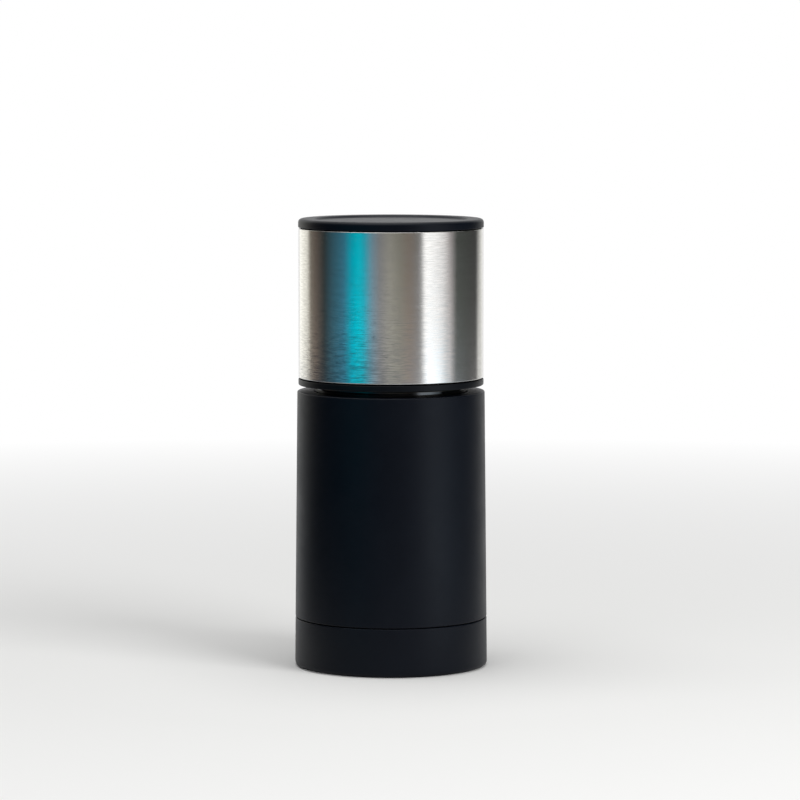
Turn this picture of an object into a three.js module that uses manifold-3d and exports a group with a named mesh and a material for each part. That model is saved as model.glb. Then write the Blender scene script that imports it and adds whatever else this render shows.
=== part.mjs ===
// A twist-grip nutmeg grater. It stands on a pull-off cap. The casing above the cap holds a tubular
// spice chamber, closed below by an etched blade. The steel-sleeved grip on top turns on the
// casing's neck and carries a sprung plunger, which presses the nutmeg on the blade and turns it.
// Millimetres, +Z up, origin on the table under the middle of the mill. Round sizes are radii.

import * as THREE from "three";
import { mergeVertices } from "three/addons/utils/BufferGeometryUtils.js";
import Module from "manifold-3d";

// Clearances
const seatGap = 0.3; // between pieces that rest on or in each other
const runningGap = 0.3; // between pieces that turn or slide in each other

// Lengths, from the table up
const capHeight = 15;
const casingLength = 69.7;
const shadowGap = 1.9; // from the casing's rim up to the turning collar
const collarLip = 1.9; // height of the collar that shows under the steel sleeve
const sleeveGap = 0.4; // dark line between the collar and the sleeve
const gripLength = 48.8; // from the foot of the sleeve to the top of the mill

// Cap and casing
const shellWall = 2;
const flare = 0.85; // how far the side widens from the casing's rim to the table
const rimStep = 0.35; // casing's rim outside the steel sleeve
const rimFillet = 0.4;
const broadFillet = 0.7; // inner corners and the neck's ledge
const shoulderThickness = 2.4;
const edgeBreak = 0.3; // small edges of moulded pieces
const capFloor = 1.8;
const capEdge = 1.5; // fillet round the foot
const footWidth = 3.4;
const footRecess = 0.8;

// Base insert: the ring in the casing's lower end that the cap plugs on
const spigotLength = 7;
const insertGrip = 10; // length held in the casing
const insertPlay = 0.45;
const capRingSection = 1.4; // thickness of the cap's seal ring
const bossRadius = 2.4;
const bossWeb = 3;

// Spice chamber
const chamberBore = 17.3;
const chamberWall = 1.7;
const restLip = 1; // rest ring inside the edge of the neck bush's flange
const restThickness = 1.6;
const chamberInset = 0.2; // top of the chamber below the top of the neck
const chamberMouth = 0.9; // fillet that leads the plunger in

// Neck bush
const bearingWall = 2.3;
const neckStep = 1.8; // visible neck outside the collar's bearing
const bushLap = 2.5; // flange under the casing's shoulder
const bushFlange = 2;
const neckLand = 1.7; // neck above the clip's groove

// Blade and its holder
const bladeThickness = 0.5;
const holderThickness = 3.2;
const holderLap = 0.4; // ledge inside the chamber's bore
const firstToothRing = 2.9;
const toothRingPitch = 2.85;
const toothSpacing = 4.2;
const toothMargin = 1.2; // from the outer teeth to the chamber's wall
const toothWidth = 1.7; // along the cutting edge
const toothMouth = 1.1; // open length in front of the edge
const toothRun = 1.75; // length of the wedge behind the edge
const toothOverhang = 0.45; // cutting edge out over its mouth
const toothRise = 0.6;
const toothLip = 0.22; // thickness of the cutting edge

// Turning collar and its clip
const collarFlange = 4.1; // height of the flange that runs on the neck
const collarEdge = 0.45;
const collarSpigotWall = 1.7;
const spigotLand = 0.5; // spigot above its seal ring
const clipThickness = 1.2;
const clipWidth = 1.6;
const clipBite = 0.6; // clip's depth in the neck's groove
const clipMouth = 50; // degrees left open
const driveKeys = 6;
const keyWidth = 4;
const keyDepth = 1.6;
const keyHeight = 4;
const gripRingSection = 1; // thickness of the grip's seal ring
const gripPlay = 0.7; // from the collar's spigot to the core's bore

// Grip
const sleeveWall = 0.8;
const sleeveCorner = 0.3;
const coreWall = 2.1;
const floorClearance = 4.4; // from the collar's spigot up to the core's floor
const floorThickness = 2.4;
const coreRibs = 6;
const ribHeight = 5;
const ribThickness = 1.6;

// Top cap
const topPlate = 1.7;
const topRim = 2.7; // height of the rim over the sleeve
const topEdge = 1.2; // fillet round the top
const topDish = 0.7;
const topBorder = 4.9; // width of the rim round the dish
const topSpigotWall = 1.6;
const topSpigotLength = 4.8;
const snapBead = 0.5;
const snapRise = 1.8; // bead above the end of the spigot

// Guide bush and its screws
const noseWall = 1.35; // at the corners of the square hole
const noseLength = 3;
const barrelStep = 1; // barrel in the floor outside the nose
const guideRim = 0.4; // flange outside the screw heads
const guideFlange = 1.8;
const guideCollar = 0.5; // top of the bush outside the nose
const guideCollarHeight = 0.9;
const bushBossRadius = 2.3;

// Plunger
const rodSide = 6;
const rodChamfer = 0.5;
const rodTip = 1.3; // rod above the stop clip
const bladeClearance = 5; // from the teeth up to the pins at rest
const plateThickness = 3.2;
const plateSkirt = 2.6;
const plateSkirtWall = 1.4;
const hubHeight = 6;
const pinCount = 4;
const pinRadius = 1;
const pinReach = 5; // below the pressure plate
const pinPoint = 2.6;
const pinFlat = 0.12;
const pinSocket = 2.2;
const washerThickness = 1;
const washerRadius = 6.2;
const stopClipThickness = 0.8;
const stopClipRadius = 5.6;
const stopClipMouth = 70; // degrees left open
const stopGroove = 0.7; // depth below the rod's flats

// Spring
const springWire = 1.2; // diameter
const springPlay = 0.8; // from the wire to the nose inside it and the bosses outside it
const springTurns = 15;
const springEndPitch = 1.75;
const springStepsPerTurn = 8;
const springWireSides = 5;

// Screws
const screwRadius = 1.15;
const screwHeadRadius = 2.2;
const screwHeadHeight = 1.3;
const bladeScrewLength = 11;
const bushScrewLength = 8;
const plateScrewRadius = 1.5;
const plateScrewHeadRadius = 3.3;
const plateScrewLength = 9;
const screwSlot = 0.5;
const tipSpace = 0.8; // hole beyond the tip of its screw
const holeFloor = 0.9; // material beyond a blind hole

// Sides of the faceted rounds
const largeSides = 36;
const middleSides = 24;
const smallSides = 10;
const holeSides = 8;
const ringSides = 6;
const cut = 1; // how far a cutter runs past the face that it opens

// Radii, from the spice chamber outwards
const chamberRadius = chamberBore + chamberWall;
const neckBore = chamberRadius + seatGap;
const bearingRadius = neckBore + bearingWall;
const neckRadius = bearingRadius + neckStep;
const neckOpening = neckRadius + seatGap;
const bushFlangeRadius = neckOpening + bushLap;
const restRadius = bushFlangeRadius - restLip;
const clipInner = bearingRadius - clipBite;
const clipOuter = clipInner + clipWidth;
const clipBore = clipOuter + seatGap;
const collarBore = bearingRadius + runningGap;
const collarSpigot = clipBore + collarSpigotWall;
const keyRadius = collarSpigot + keyDepth;
const coreBore = collarSpigot + gripPlay;
const coreRadius = coreBore + coreWall;
const sleeveBore = coreRadius + seatGap;
const hemBore = keyRadius + runningGap;
const gripRadius = sleeveBore + sleeveWall;
const rimRadius = gripRadius + rimStep;
const gripRingOuter = coreBore - seatGap;
const topSpigot = coreBore - seatGap;

// Levels of the cap, the casing and the blade
const casingBottom = capHeight + seatGap;
const rimHeight = casingBottom + casingLength;
const shoulderBottom = rimHeight - shoulderThickness;
const capInside = footRecess + capFloor;
const insertBottom = casingBottom - spigotLength;
const insertTop = casingBottom + insertGrip;
const holderBottom = insertBottom + screwHeadHeight + 2 * seatGap;
const holderTop = holderBottom + holderThickness;
const bladeBottom = holderTop - bladeThickness;
const bladeLedge = bladeBottom - seatGap;
const chamberBottom = holderTop + seatGap;
const bladeScrewSeat = holderBottom - seatGap;
const bladeHoleTop = bladeScrewSeat + bladeScrewLength + tipSpace;

// Radii that depend on the casing's taper or on the screws
const casingRadius = (z) => rimRadius + flare * (1 - z / rimHeight);
const casingInside = (z) => casingRadius(z) - shellWall;
const baseRadius = casingRadius(0);
const capBore = casingInside(capHeight);
const insertRadius = casingInside(insertTop) - insertPlay;
const bladeScrewCircle = chamberRadius + seatGap + bossRadius;
const insertBore = bladeScrewCircle + screwHeadRadius + seatGap;
const holderRadius = insertBore - seatGap;
const capRingOuter = capBore - seatGap;
const capRingHeight = (insertBottom + casingBottom) / 2;
const bladeRadius = chamberRadius;

// Levels of the neck, the collar and the grip
const bushFlangeTop = shoulderBottom - seatGap;
const bushBottom = bushFlangeTop - bushFlange;
const restTop = bushBottom - seatGap;
const collarBottom = rimHeight + shadowGap;
const neckLedge = collarBottom - seatGap;
const lipTop = collarBottom + collarLip;
const flangeTop = collarBottom + collarFlange;
const clipBottom = flangeTop + seatGap;
const clipTop = clipBottom + clipThickness;
const neckTop = clipTop + seatGap + neckLand;
const keyTop = lipTop + keyHeight;
const gripRingHeight = keyTop + seatGap + gripRingSection;
const gripRingHalf = (gripRingSection + seatGap) / 2;
const collarTop = gripRingHeight + gripRingHalf + spigotLand;
const sleeveBottom = lipTop + sleeveGap;
const totalHeight = sleeveBottom + gripLength;
const coreBottom = sleeveBottom + sleeveWall + seatGap;
const floorBottom = collarTop + floorClearance;
const floorTop = floorBottom + floorThickness;
const topRimBottom = totalHeight - topRim;
const sleeveTop = topRimBottom - seatGap;
const topSpigotBottom = topRimBottom - topSpigotLength;
const snapHeight = topSpigotBottom + snapRise;
const dishHeight = totalHeight - topDish;

// The plunger's guide, from its square rod outwards and from the floor up
const rodHole = rodSide + 2 * runningGap;
const noseRadius = rodHole / Math.SQRT2 + noseWall;
const barrelRadius = noseRadius + barrelStep;
const guideCollarRadius = noseRadius + guideCollar;
const springMean = noseRadius + springPlay + springWire / 2;
const bushScrewCircle = springMean + springWire / 2 + springPlay + bushBossRadius;
const guideFlangeRadius = bushScrewCircle + screwHeadRadius + guideRim;
const guideBottom = floorBottom - noseLength;
const guideFlangeBottom = floorTop + seatGap;
const guideFlangeTop = guideFlangeBottom + guideFlange;
const guideTop = guideFlangeTop + guideCollarHeight;
const bushScrewSeat = guideFlangeTop + seatGap;
const bushHoleBottom = bushScrewSeat - bushScrewLength - tipSpace;
const washerBottom = guideTop + seatGap;
const stopClipBottom = washerBottom + washerThickness + seatGap;
const rodTop = stopClipBottom + stopClipThickness + seatGap + rodTip;

// The pressure plate, from the blade up
const plateRadius = chamberBore - 1.5 * runningGap;
const hubRadius = noseRadius;
const plateInside = plateRadius - plateSkirtWall;
const pinCircle = (hubRadius + plateInside) / 2;
const plateBottom = bladeBottom + bladeThickness + toothRise + bladeClearance + pinReach;
const plateTop = plateBottom + plateThickness;
const hubTop = plateTop + hubHeight;
const rodBottom = plateTop + seatGap;
const counterboreTop = plateBottom + screwHeadHeight + 2 * seatGap;
const plateScrewSeat = counterboreTop - seatGap;
const plateHoleTop = plateScrewSeat + plateScrewLength + tipSpace;

const wasm = await Module();
wasm.setup();

// Finishes
const finish = (color, roughness, metalness = 0) => new THREE.MeshStandardMaterial({ color, roughness, metalness });
const softBlack = finish(0x14171b, 0.62);
const glossBlack = finish(0x0b0c0e, 0.22);
const plainBlack = finish(0x1b1d20, 0.5);
const smokePlastic = finish(0x26292c, 0.35);
const sealRubber = finish(0x101112, 0.75);
const brushedSteel = finish(0xb9b8b4, 0.3, 1);
const bladeSteel = finish(0xc6c8ca, 0.22, 1);
const springSteel = finish(0x9a9c9e, 0.28, 1);
const brass = finish(0xb08d4a, 0.35, 1);

const mill = new THREE.Group();

// Adds a piece to the mill under its own name.
function piece(name, geometry, material) {
  const mesh = new THREE.Mesh(geometry, material);
  mesh.name = name;
  mill.add(mesh);
}

// A closed outline of [radius, height, fillet] corners. Small fillets are drawn as one flat, larger
// ones as two.
function outline(corners) {
  const points = [];
  corners.forEach(([x, y, fillet = 0], i) => {
    const here = new THREE.Vector2(x, y);
    if (!fillet) {
      points.push(here);
      return;
    }
    const before = corners[(i + corners.length - 1) % corners.length];
    const after = corners[(i + 1) % corners.length];
    const toBefore = new THREE.Vector2(before[0] - x, before[1] - y).normalize();
    const toAfter = new THREE.Vector2(after[0] - x, after[1] - y).normalize();
    const half = toBefore.angleTo(toAfter) / 2;
    const centre = toBefore.clone().add(toAfter).normalize().multiplyScalar(fillet / Math.sin(half)).add(here);
    const first = here.clone().addScaledVector(toBefore, fillet / Math.tan(half)).sub(centre);
    const last = here.clone().addScaledVector(toAfter, fillet / Math.tan(half)).sub(centre);
    const sweep = Math.atan2(first.cross(last), first.dot(last));
    const steps = fillet < broadFillet ? 1 : 2;
    for (let step = 0; step <= steps; step++) {
      const arm = first.clone().rotateAround(new THREE.Vector2(), (sweep * step) / steps);
      points.push(arm.add(centre));
    }
  });
  if (THREE.ShapeUtils.isClockWise(points)) points.reverse();
  return points;
}

// A ring or plug turned about the Z axis from a closed outline.
function turned(corners, sides) {
  const points = outline(corners);
  const onAxis = (point) => point.x < 1e-6;
  if (points.some(onAxis)) {
    // the loop is started on the axis, so that it ends there too
    while (!(onAxis(points[0]) && onAxis(points[points.length - 1]))) points.push(points.shift());
  } else {
    points.push(points[0].clone());
  }
  return new THREE.LatheGeometry(points, sides).rotateX(Math.PI / 2);
}

// An upright cylinder from one height to another.
function post(radius, bottom, top, sides = smallSides) {
  return new THREE.CylinderGeometry(radius, radius, top - bottom, sides)
    .rotateX(Math.PI / 2)
    .translate(0, 0, (bottom + top) / 2);
}

// A block that runs outwards along +X from one radius to another.
function bar(inner, outer, width, bottom, top) {
  return new THREE.BoxGeometry(outer - inner, width, top - bottom)
    .translate((inner + outer) / 2, 0, (bottom + top) / 2);
}

// A round seal ring.
function sealRing(outer, section, height) {
  return new THREE.TorusGeometry(outer - section / 2, section / 2, ringSides, middleSides).translate(0, 0, height);
}

// A flat ring with a mouth cut out of it on the +X side.
function openRing(inner, outer, mouthDegrees, bottom, thickness, sides) {
  const start = THREE.MathUtils.degToRad(mouthDegrees / 2);
  const end = 2 * Math.PI - start;
  const shape = new THREE.Shape().absarc(0, 0, outer, start, end, false).absarc(0, 0, inner, end, start, true);
  return new THREE.ExtrudeGeometry(shape, { depth: thickness, bevelEnabled: false, curveSegments: sides })
    .translate(0, 0, bottom);
}

// A copy of a geometry on a circle round the Z axis.
function onCircle(geometry, radius, angle) {
  return geometry.clone().translate(radius, 0, 0).rotateZ(angle);
}

// Angles spaced evenly round the axis.
function evenly(count, start = 0) {
  return Array.from({ length: count }, (_, i) => start + (i * 2 * Math.PI) / count);
}

const screwAngles = evenly(3, Math.PI / 6);
const pinAngles = evenly(pinCount, Math.PI / 4);

function solid(geometry) {
  const bare = new THREE.BufferGeometry().setAttribute("position", geometry.getAttribute("position"));
  if (geometry.index) bare.setIndex(geometry.index);
  const merged = mergeVertices(bare, 1e-4);
  return new wasm.Manifold(
    new wasm.Mesh({
      numProp: 3,
      vertProperties: new Float32Array(merged.attributes.position.array),
      triVerts: new Uint32Array(merged.index.array),
    }),
  );
}

// One geometry joined with some others and cut by more.
function shaped(base, joined, cutters) {
  let made = solid(base);
  for (const other of joined) made = made.add(solid(other));
  for (const other of cutters) made = made.subtract(solid(other));
  const mesh = made.getMesh();
  return new THREE.BufferGeometry()
    .setAttribute("position", new THREE.BufferAttribute(new Float32Array(mesh.vertProperties), 3))
    .setIndex(new THREE.BufferAttribute(new Uint32Array(mesh.triVerts), 1));
}

// Pull-off cap: a cup on a standing ring, which catches the grated spice.
function bottomCap() {
  const footInner = baseRadius - capEdge - footWidth;
  return turned(
    [
      [0, footRecess],
      [footInner - footRecess, footRecess],
      [footInner, 0],
      [baseRadius, 0, capEdge],
      [casingRadius(capHeight), capHeight, edgeBreak],
      [capBore, capHeight, edgeBreak],
      [capBore, capInside, broadFillet],
      [0, capInside],
    ],
    largeSides,
  );
}

// Casing: a tapered tube, open below, with a flat shoulder round the neck.
function casing() {
  return turned(
    [
      [neckOpening, shoulderBottom],
      [neckOpening, rimHeight, edgeBreak],
      [rimRadius, rimHeight, rimFillet],
      [casingRadius(casingBottom), casingBottom, edgeBreak],
      [casingInside(casingBottom), casingBottom],
      [casingInside(shoulderBottom), shoulderBottom, 2 * edgeBreak],
    ],
    largeSides,
  );
}

// Base insert: fixed in the casing's lower end. Its spigot carries the cap and the cap's seal ring,
// and its three bosses take the screws of the blade holder.
function baseInsert() {
  const grooveHalf = capRingSection / 2 + seatGap;
  const grooveFloor = capRingOuter - capRingSection - seatGap;
  const ringBody = turned(
    [
      [insertBore, insertBottom],
      [insertRadius, insertBottom, 2 * edgeBreak],
      [insertRadius, capRingHeight - grooveHalf],
      [grooveFloor, capRingHeight - grooveHalf],
      [grooveFloor, capRingHeight + grooveHalf],
      [insertRadius, capRingHeight + grooveHalf],
      [insertRadius, insertTop, edgeBreak],
      [insertBore, insertTop],
    ],
    largeSides,
  );
  const bossBottom = holderTop + seatGap;
  const bossTop = bladeHoleTop + holeFloor;
  const boss = post(bossRadius, bossBottom, bossTop, middleSides / 2);
  const web = bar(bladeScrewCircle, insertBore + seatGap, bossWeb, bossBottom, bossTop);
  const hole = post(screwRadius + seatGap, bossBottom - cut, bladeHoleTop, holeSides);
  return shaped(
    ringBody,
    screwAngles.flatMap((angle) => [onCircle(boss, bladeScrewCircle, angle), web.clone().rotateZ(angle)]),
    screwAngles.map((angle) => onCircle(hole, bladeScrewCircle, angle)),
  );
}

// Spice chamber: a tube that stands on the blade and carries the neck bush on a ring near its top.
function chamber() {
  return turned(
    [
      [chamberBore, chamberBottom],
      [chamberRadius, chamberBottom],
      [chamberRadius, restTop - 2 * restThickness],
      [restRadius, restTop - restThickness],
      [restRadius, restTop],
      [chamberRadius, restTop],
      [chamberRadius, neckTop - chamberInset],
      [chamberBore, neckTop - chamberInset, chamberMouth],
    ],
    middleSides,
  );
}

// Neck bush: held under the casing's shoulder by its flange. It shows as the glossy neck in the
// shadow gap. The collar turns on its upper part, which is grooved for the collar's clip.
function neckBush() {
  return turned(
    [
      [neckBore, bushBottom],
      [bushFlangeRadius, bushBottom],
      [bushFlangeRadius, bushFlangeTop],
      [neckRadius, bushFlangeTop],
      [neckRadius, neckLedge, broadFillet],
      [bearingRadius, neckLedge],
      [bearingRadius, clipBottom - seatGap],
      [clipInner - seatGap, clipBottom - seatGap],
      [clipInner - seatGap, clipTop + seatGap],
      [bearingRadius, clipTop + seatGap],
      [bearingRadius, neckTop, edgeBreak],
      [neckBore, neckTop],
    ],
    middleSides,
  );
}

// A mouth through the blade: full width along the cutting edge, narrower at its far side.
function toothMouthPath(centre, angle, way) {
  const half = toothWidth / 2;
  const corners = [
    [half, 0],
    [half / 2, way * toothMouth],
    [-half / 2, way * toothMouth],
    [-half, 0],
  ].map(([x, y]) => new THREE.Vector2(x, y).rotateAround(new THREE.Vector2(), angle).add(centre));
  return new THREE.Path(corners);
}

// A wedge that climbs from the blade to a cutting edge over the mouth, rooted a little in the blade.
function toothWedge(way) {
  const width = 0.9 * toothWidth;
  const root = -bladeThickness / 3;
  const side = new THREE.Shape([
    new THREE.Vector2(way * (toothOverhang - toothRun), root),
    new THREE.Vector2(way * root, root),
    new THREE.Vector2(way * toothOverhang, toothRise - toothLip),
    new THREE.Vector2(way * toothOverhang, toothRise),
  ]);
  // drawn upright across X, then turned so that the cutting edge lies along X
  return new THREE.ExtrudeGeometry(side, { depth: width, bevelEnabled: false })
    .translate(0, 0, -width / 2)
    .rotateY(Math.PI / 2)
    .rotateX(Math.PI / 2);
}

// Blade: a thin disc with rings of small raised teeth whose edges lie along the disc's radii. The
// rings cut in turn one way and the other, so it grates whichever way the grip is twisted.
function blade() {
  const disc = new THREE.Shape().absarc(0, 0, bladeRadius, 0, 2 * Math.PI, false);
  const wedges = [];
  const lastRing = chamberBore - toothMargin - toothWidth / 2;
  for (let row = 0; firstToothRing + row * toothRingPitch < lastRing; row++) {
    const radius = firstToothRing + row * toothRingPitch;
    const count = Math.floor((2 * Math.PI * radius) / toothSpacing);
    const way = row % 2 ? 1 : -1;
    for (const angle of evenly(count, row)) {
      const centre = new THREE.Vector2(radius, 0).rotateAround(new THREE.Vector2(), angle);
      disc.holes.push(toothMouthPath(centre, angle, way));
      const wedge = toothWedge(way).rotateZ(angle);
      wedges.push(wedge.translate(centre.x, centre.y, bladeBottom + bladeThickness));
    }
  }
  const plate = new THREE.ExtrudeGeometry(disc, {
    depth: bladeThickness,
    bevelEnabled: false,
    curveSegments: middleSides,
  });
  return shaped(plate.translate(0, 0, bladeBottom), wedges, []);
}

// Blade holder: a ring with a recess for the blade, screwed up against the base insert's bosses.
function bladeHolder() {
  const window = chamberBore - holderLap;
  const ringBody = turned(
    [
      [window, holderBottom, edgeBreak],
      [holderRadius, holderBottom, edgeBreak],
      [holderRadius, holderTop],
      [bladeRadius + seatGap, holderTop],
      [bladeRadius + seatGap, bladeLedge],
      [window, bladeLedge],
    ],
    middleSides,
  );
  const hole = post(screwRadius + seatGap, holderBottom - cut, holderTop + cut, holeSides);
  return shaped(
    ringBody,
    [],
    screwAngles.map((angle) => onCircle(hole, bladeScrewCircle, angle)),
  );
}

// A pan-head screw with a crossed recess. Its shank runs up or down from the seat under its head.
function screw(seat, length, way, radius, headRadius) {
  const body = turned(
    [
      [0, -screwHeadHeight],
      [headRadius, -screwHeadHeight, edgeBreak],
      [headRadius, 0],
      [radius, 0],
      [radius, length - radius],
      [radius / 3, length],
      [0, length],
    ],
    smallSides,
  );
  const slot = new THREE.BoxGeometry(1.3 * headRadius, screwSlot, screwHeadHeight).translate(0, 0, -screwHeadHeight);
  const made = shaped(body, [], [slot, slot.clone().rotateZ(Math.PI / 2)]);
  if (way < 0) made.rotateX(Math.PI);
  return made.translate(0, 0, seat);
}

// Turning collar: the lip under the steel sleeve, a flange that runs on the neck, and a spigot whose
// keys drive the grip's core.
function collar() {
  const grooveFloor = gripRingOuter - gripRingSection - seatGap;
  const ringBody = turned(
    [
      [collarBore, collarBottom],
      [gripRadius, collarBottom, collarEdge],
      [gripRadius, lipTop],
      [collarSpigot, lipTop],
      [collarSpigot, gripRingHeight - gripRingHalf],
      [grooveFloor, gripRingHeight - gripRingHalf],
      [grooveFloor, gripRingHeight + gripRingHalf],
      [collarSpigot, gripRingHeight + gripRingHalf],
      [collarSpigot, collarTop],
      [clipBore, collarTop],
      [clipBore, flangeTop],
      [collarBore, flangeTop],
    ],
    largeSides,
  );
  const key = bar(collarSpigot - gripPlay, keyRadius, keyWidth, lipTop - seatGap, keyTop);
  return shaped(ringBody, evenly(driveKeys).map((angle) => key.clone().rotateZ(angle)), []);
}

// Steel sleeve: a thin tube whose foot is turned in under the core.
function sleeve() {
  return turned(
    [
      [hemBore, sleeveBottom],
      [gripRadius, sleeveBottom, sleeveCorner],
      [gripRadius, sleeveTop],
      [sleeveBore, sleeveTop],
      [sleeveBore, sleeveBottom + sleeveWall],
      [hemBore, sleeveBottom + sleeveWall],
    ],
    largeSides,
  );
}

// Core of the grip: a tube with a ribbed floor across it. Its skirt is slotted for the collar's keys,
// bosses under the floor take the guide bush's screws, and the top cap snaps into its upper end.
function gripCore() {
  const tube = turned(
    [
      [coreBore, coreBottom],
      [coreRadius, coreBottom, edgeBreak],
      [coreRadius, sleeveTop],
      [coreBore, sleeveTop],
      [coreBore, snapHeight + 2 * snapBead],
      [coreBore + snapBead, snapHeight + snapBead],
      [coreBore + snapBead, snapHeight - snapBead],
      [coreBore, snapHeight - 2 * snapBead],
      [coreBore, floorTop],
      [barrelRadius + seatGap, floorTop],
      [barrelRadius + seatGap, floorBottom],
      [coreBore, floorBottom, broadFillet],
    ],
    largeSides,
  );
  const joint = floorThickness / 4;
  const rib = bar(guideFlangeRadius + seatGap, coreBore + joint, ribThickness, floorTop - joint, floorTop + ribHeight);
  const boss = post(bushBossRadius, bushHoleBottom - holeFloor, floorBottom + joint, middleSides / 2);
  const hole = post(screwRadius + seatGap, bushHoleBottom, floorTop + cut, holeSides);
  const keySlot = bar(
    coreBore - cut,
    keyRadius + runningGap,
    keyWidth + 2 * runningGap,
    coreBottom - cut,
    keyTop + runningGap,
  );
  return shaped(
    tube,
    [
      ...evenly(coreRibs, Math.PI / 6).map((angle) => rib.clone().rotateZ(angle)),
      ...screwAngles.map((angle) => onCircle(boss, bushScrewCircle, angle)),
    ],
    [
      ...screwAngles.map((angle) => onCircle(hole, bushScrewCircle, angle)),
      ...evenly(driveKeys).map((angle) => keySlot.clone().rotateZ(angle)),
    ],
  );
}

// Top cap: a shallow dished disc over the sleeve and core, with a snap spigot inside the core.
function topCap() {
  const spigotInner = topSpigot - topSpigotWall;
  const dishRadius = gripRadius - topBorder;
  return turned(
    [
      [0, dishHeight - topPlate],
      [spigotInner, dishHeight - topPlate],
      [spigotInner, topSpigotBottom],
      [topSpigot - edgeBreak, topSpigotBottom],
      [topSpigot, snapHeight - 1.6 * snapBead],
      [topSpigot + snapBead, snapHeight - 0.4 * snapBead],
      [topSpigot + snapBead, snapHeight + 0.4 * snapBead],
      [topSpigot, snapHeight + 1.6 * snapBead],
      [topSpigot, topRimBottom],
      [gripRadius, topRimBottom],
      [gripRadius, totalHeight, topEdge],
      [dishRadius, totalHeight],
      [dishRadius - topDish, dishHeight],
      [0, dishHeight],
    ],
    largeSides,
  );
}

// Guide bush: a flanged bush whose square hole guides the plunger's rod and turns it.
function guideBush() {
  const body = turned(
    [
      [0, guideBottom],
      [noseRadius, guideBottom, edgeBreak],
      [noseRadius, floorBottom - seatGap],
      [barrelRadius, floorBottom - seatGap],
      [barrelRadius, guideFlangeBottom],
      [guideFlangeRadius, guideFlangeBottom],
      [guideFlangeRadius, guideFlangeTop],
      [guideCollarRadius, guideFlangeTop],
      [guideCollarRadius, guideTop],
      [0, guideTop],
    ],
    middleSides,
  );
  const square = new THREE.BoxGeometry(rodHole, rodHole, guideTop - guideBottom + 2 * cut)
    .translate(0, 0, (guideBottom + guideTop) / 2);
  const hole = post(screwRadius + seatGap, guideFlangeBottom - cut, guideFlangeTop + cut, holeSides);
  return shaped(body, [], [square, ...screwAngles.map((angle) => onCircle(hole, bushScrewCircle, angle))]);
}

// Plunger rod: a square bar with chamfered corners, grooved near its top and tapped at its foot.
function plungerRod() {
  const half = rodSide / 2;
  const flat = half - rodChamfer;
  const section = new THREE.Shape(
    [
      [half, -flat],
      [half, flat],
      [flat, half],
      [-flat, half],
      [-half, flat],
      [-half, -flat],
      [-flat, -half],
      [flat, -half],
    ].map(([x, y]) => new THREE.Vector2(x, y)),
  );
  const square = new THREE.ExtrudeGeometry(section, { depth: rodTop - rodBottom, bevelEnabled: false });
  const groove = turned(
    [
      [half - stopGroove, stopClipBottom - seatGap],
      [rodSide, stopClipBottom - seatGap],
      [rodSide, stopClipBottom + stopClipThickness + seatGap],
      [half - stopGroove, stopClipBottom + stopClipThickness + seatGap],
    ],
    smallSides,
  );
  const hole = post(plateScrewRadius + seatGap, rodBottom - cut, plateHoleTop, holeSides);
  return shaped(square.translate(0, 0, rodBottom), [], [groove, hole]);
}

// Pressure plate: a disc with a guiding skirt, a hub round the rod's foot, and sockets for the pins.
function pressurePlate() {
  const body = turned(
    [
      [0, plateBottom],
      [plateRadius, plateBottom, edgeBreak],
      [plateRadius, plateTop + plateSkirt],
      [plateInside, plateTop + plateSkirt],
      [plateInside, plateTop],
      [hubRadius, plateTop],
      [hubRadius, hubTop, edgeBreak],
      [0, hubTop],
    ],
    middleSides,
  );
  const socket = new THREE.BoxGeometry(rodHole, rodHole, hubHeight + cut)
    .translate(0, 0, plateTop + (hubHeight + cut) / 2);
  const counterbore = post(plateScrewHeadRadius + seatGap, plateBottom - cut, counterboreTop, middleSides / 2);
  const hole = post(plateScrewRadius + seatGap, plateBottom, plateTop + cut, holeSides);
  const pinHole = post(pinRadius + seatGap, plateBottom - cut, plateBottom + pinSocket + seatGap, holeSides);
  return shaped(body, [], [socket, counterbore, hole, ...pinAngles.map((angle) => onCircle(pinHole, pinCircle, angle))]);
}

// A pointed steel pin that bites into the nutmeg.
function grippingPin() {
  const tip = plateBottom - pinReach;
  return turned(
    [
      [0, tip],
      [pinFlat, tip],
      [pinRadius, tip + pinPoint],
      [pinRadius, plateBottom + pinSocket],
      [0, plateBottom + pinSocket],
    ],
    holeSides,
  );
}

// Washer between the guide bush and the stop clip.
function stopWasher() {
  const hole = Math.hypot(rodSide / 2, rodSide / 2 - rodChamfer) + runningGap;
  return turned(
    [
      [hole, washerBottom],
      [washerRadius, washerBottom],
      [washerRadius, washerBottom + washerThickness],
      [hole, washerBottom + washerThickness],
    ],
    middleSides / 2,
  );
}

// Height of the spring's wire after a number of turns. The end turns lie closer than the others.
function springHeight(turns) {
  const low = plateTop + seatGap + springWire / 2;
  const high = floorBottom - seatGap - springWire / 2;
  const pitch = (high - low - 2 * springEndPitch) / (springTurns - 2);
  if (turns < 1) return low + springEndPitch * turns;
  if (turns > springTurns - 1) return high - springEndPitch * (springTurns - turns);
  return low + springEndPitch + pitch * (turns - 1);
}

// The points round the wire at one step of the spring.
function springSection(step) {
  const turns = step / springStepsPerTurn;
  const angle = turns * 2 * Math.PI;
  return evenly(springWireSides).flatMap((round) => {
    const radius = springMean + (springWire / 2) * Math.cos(round);
    const height = springHeight(turns) + (springWire / 2) * Math.sin(round);
    return [radius * Math.cos(angle), radius * Math.sin(angle), height];
  });
}

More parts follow.
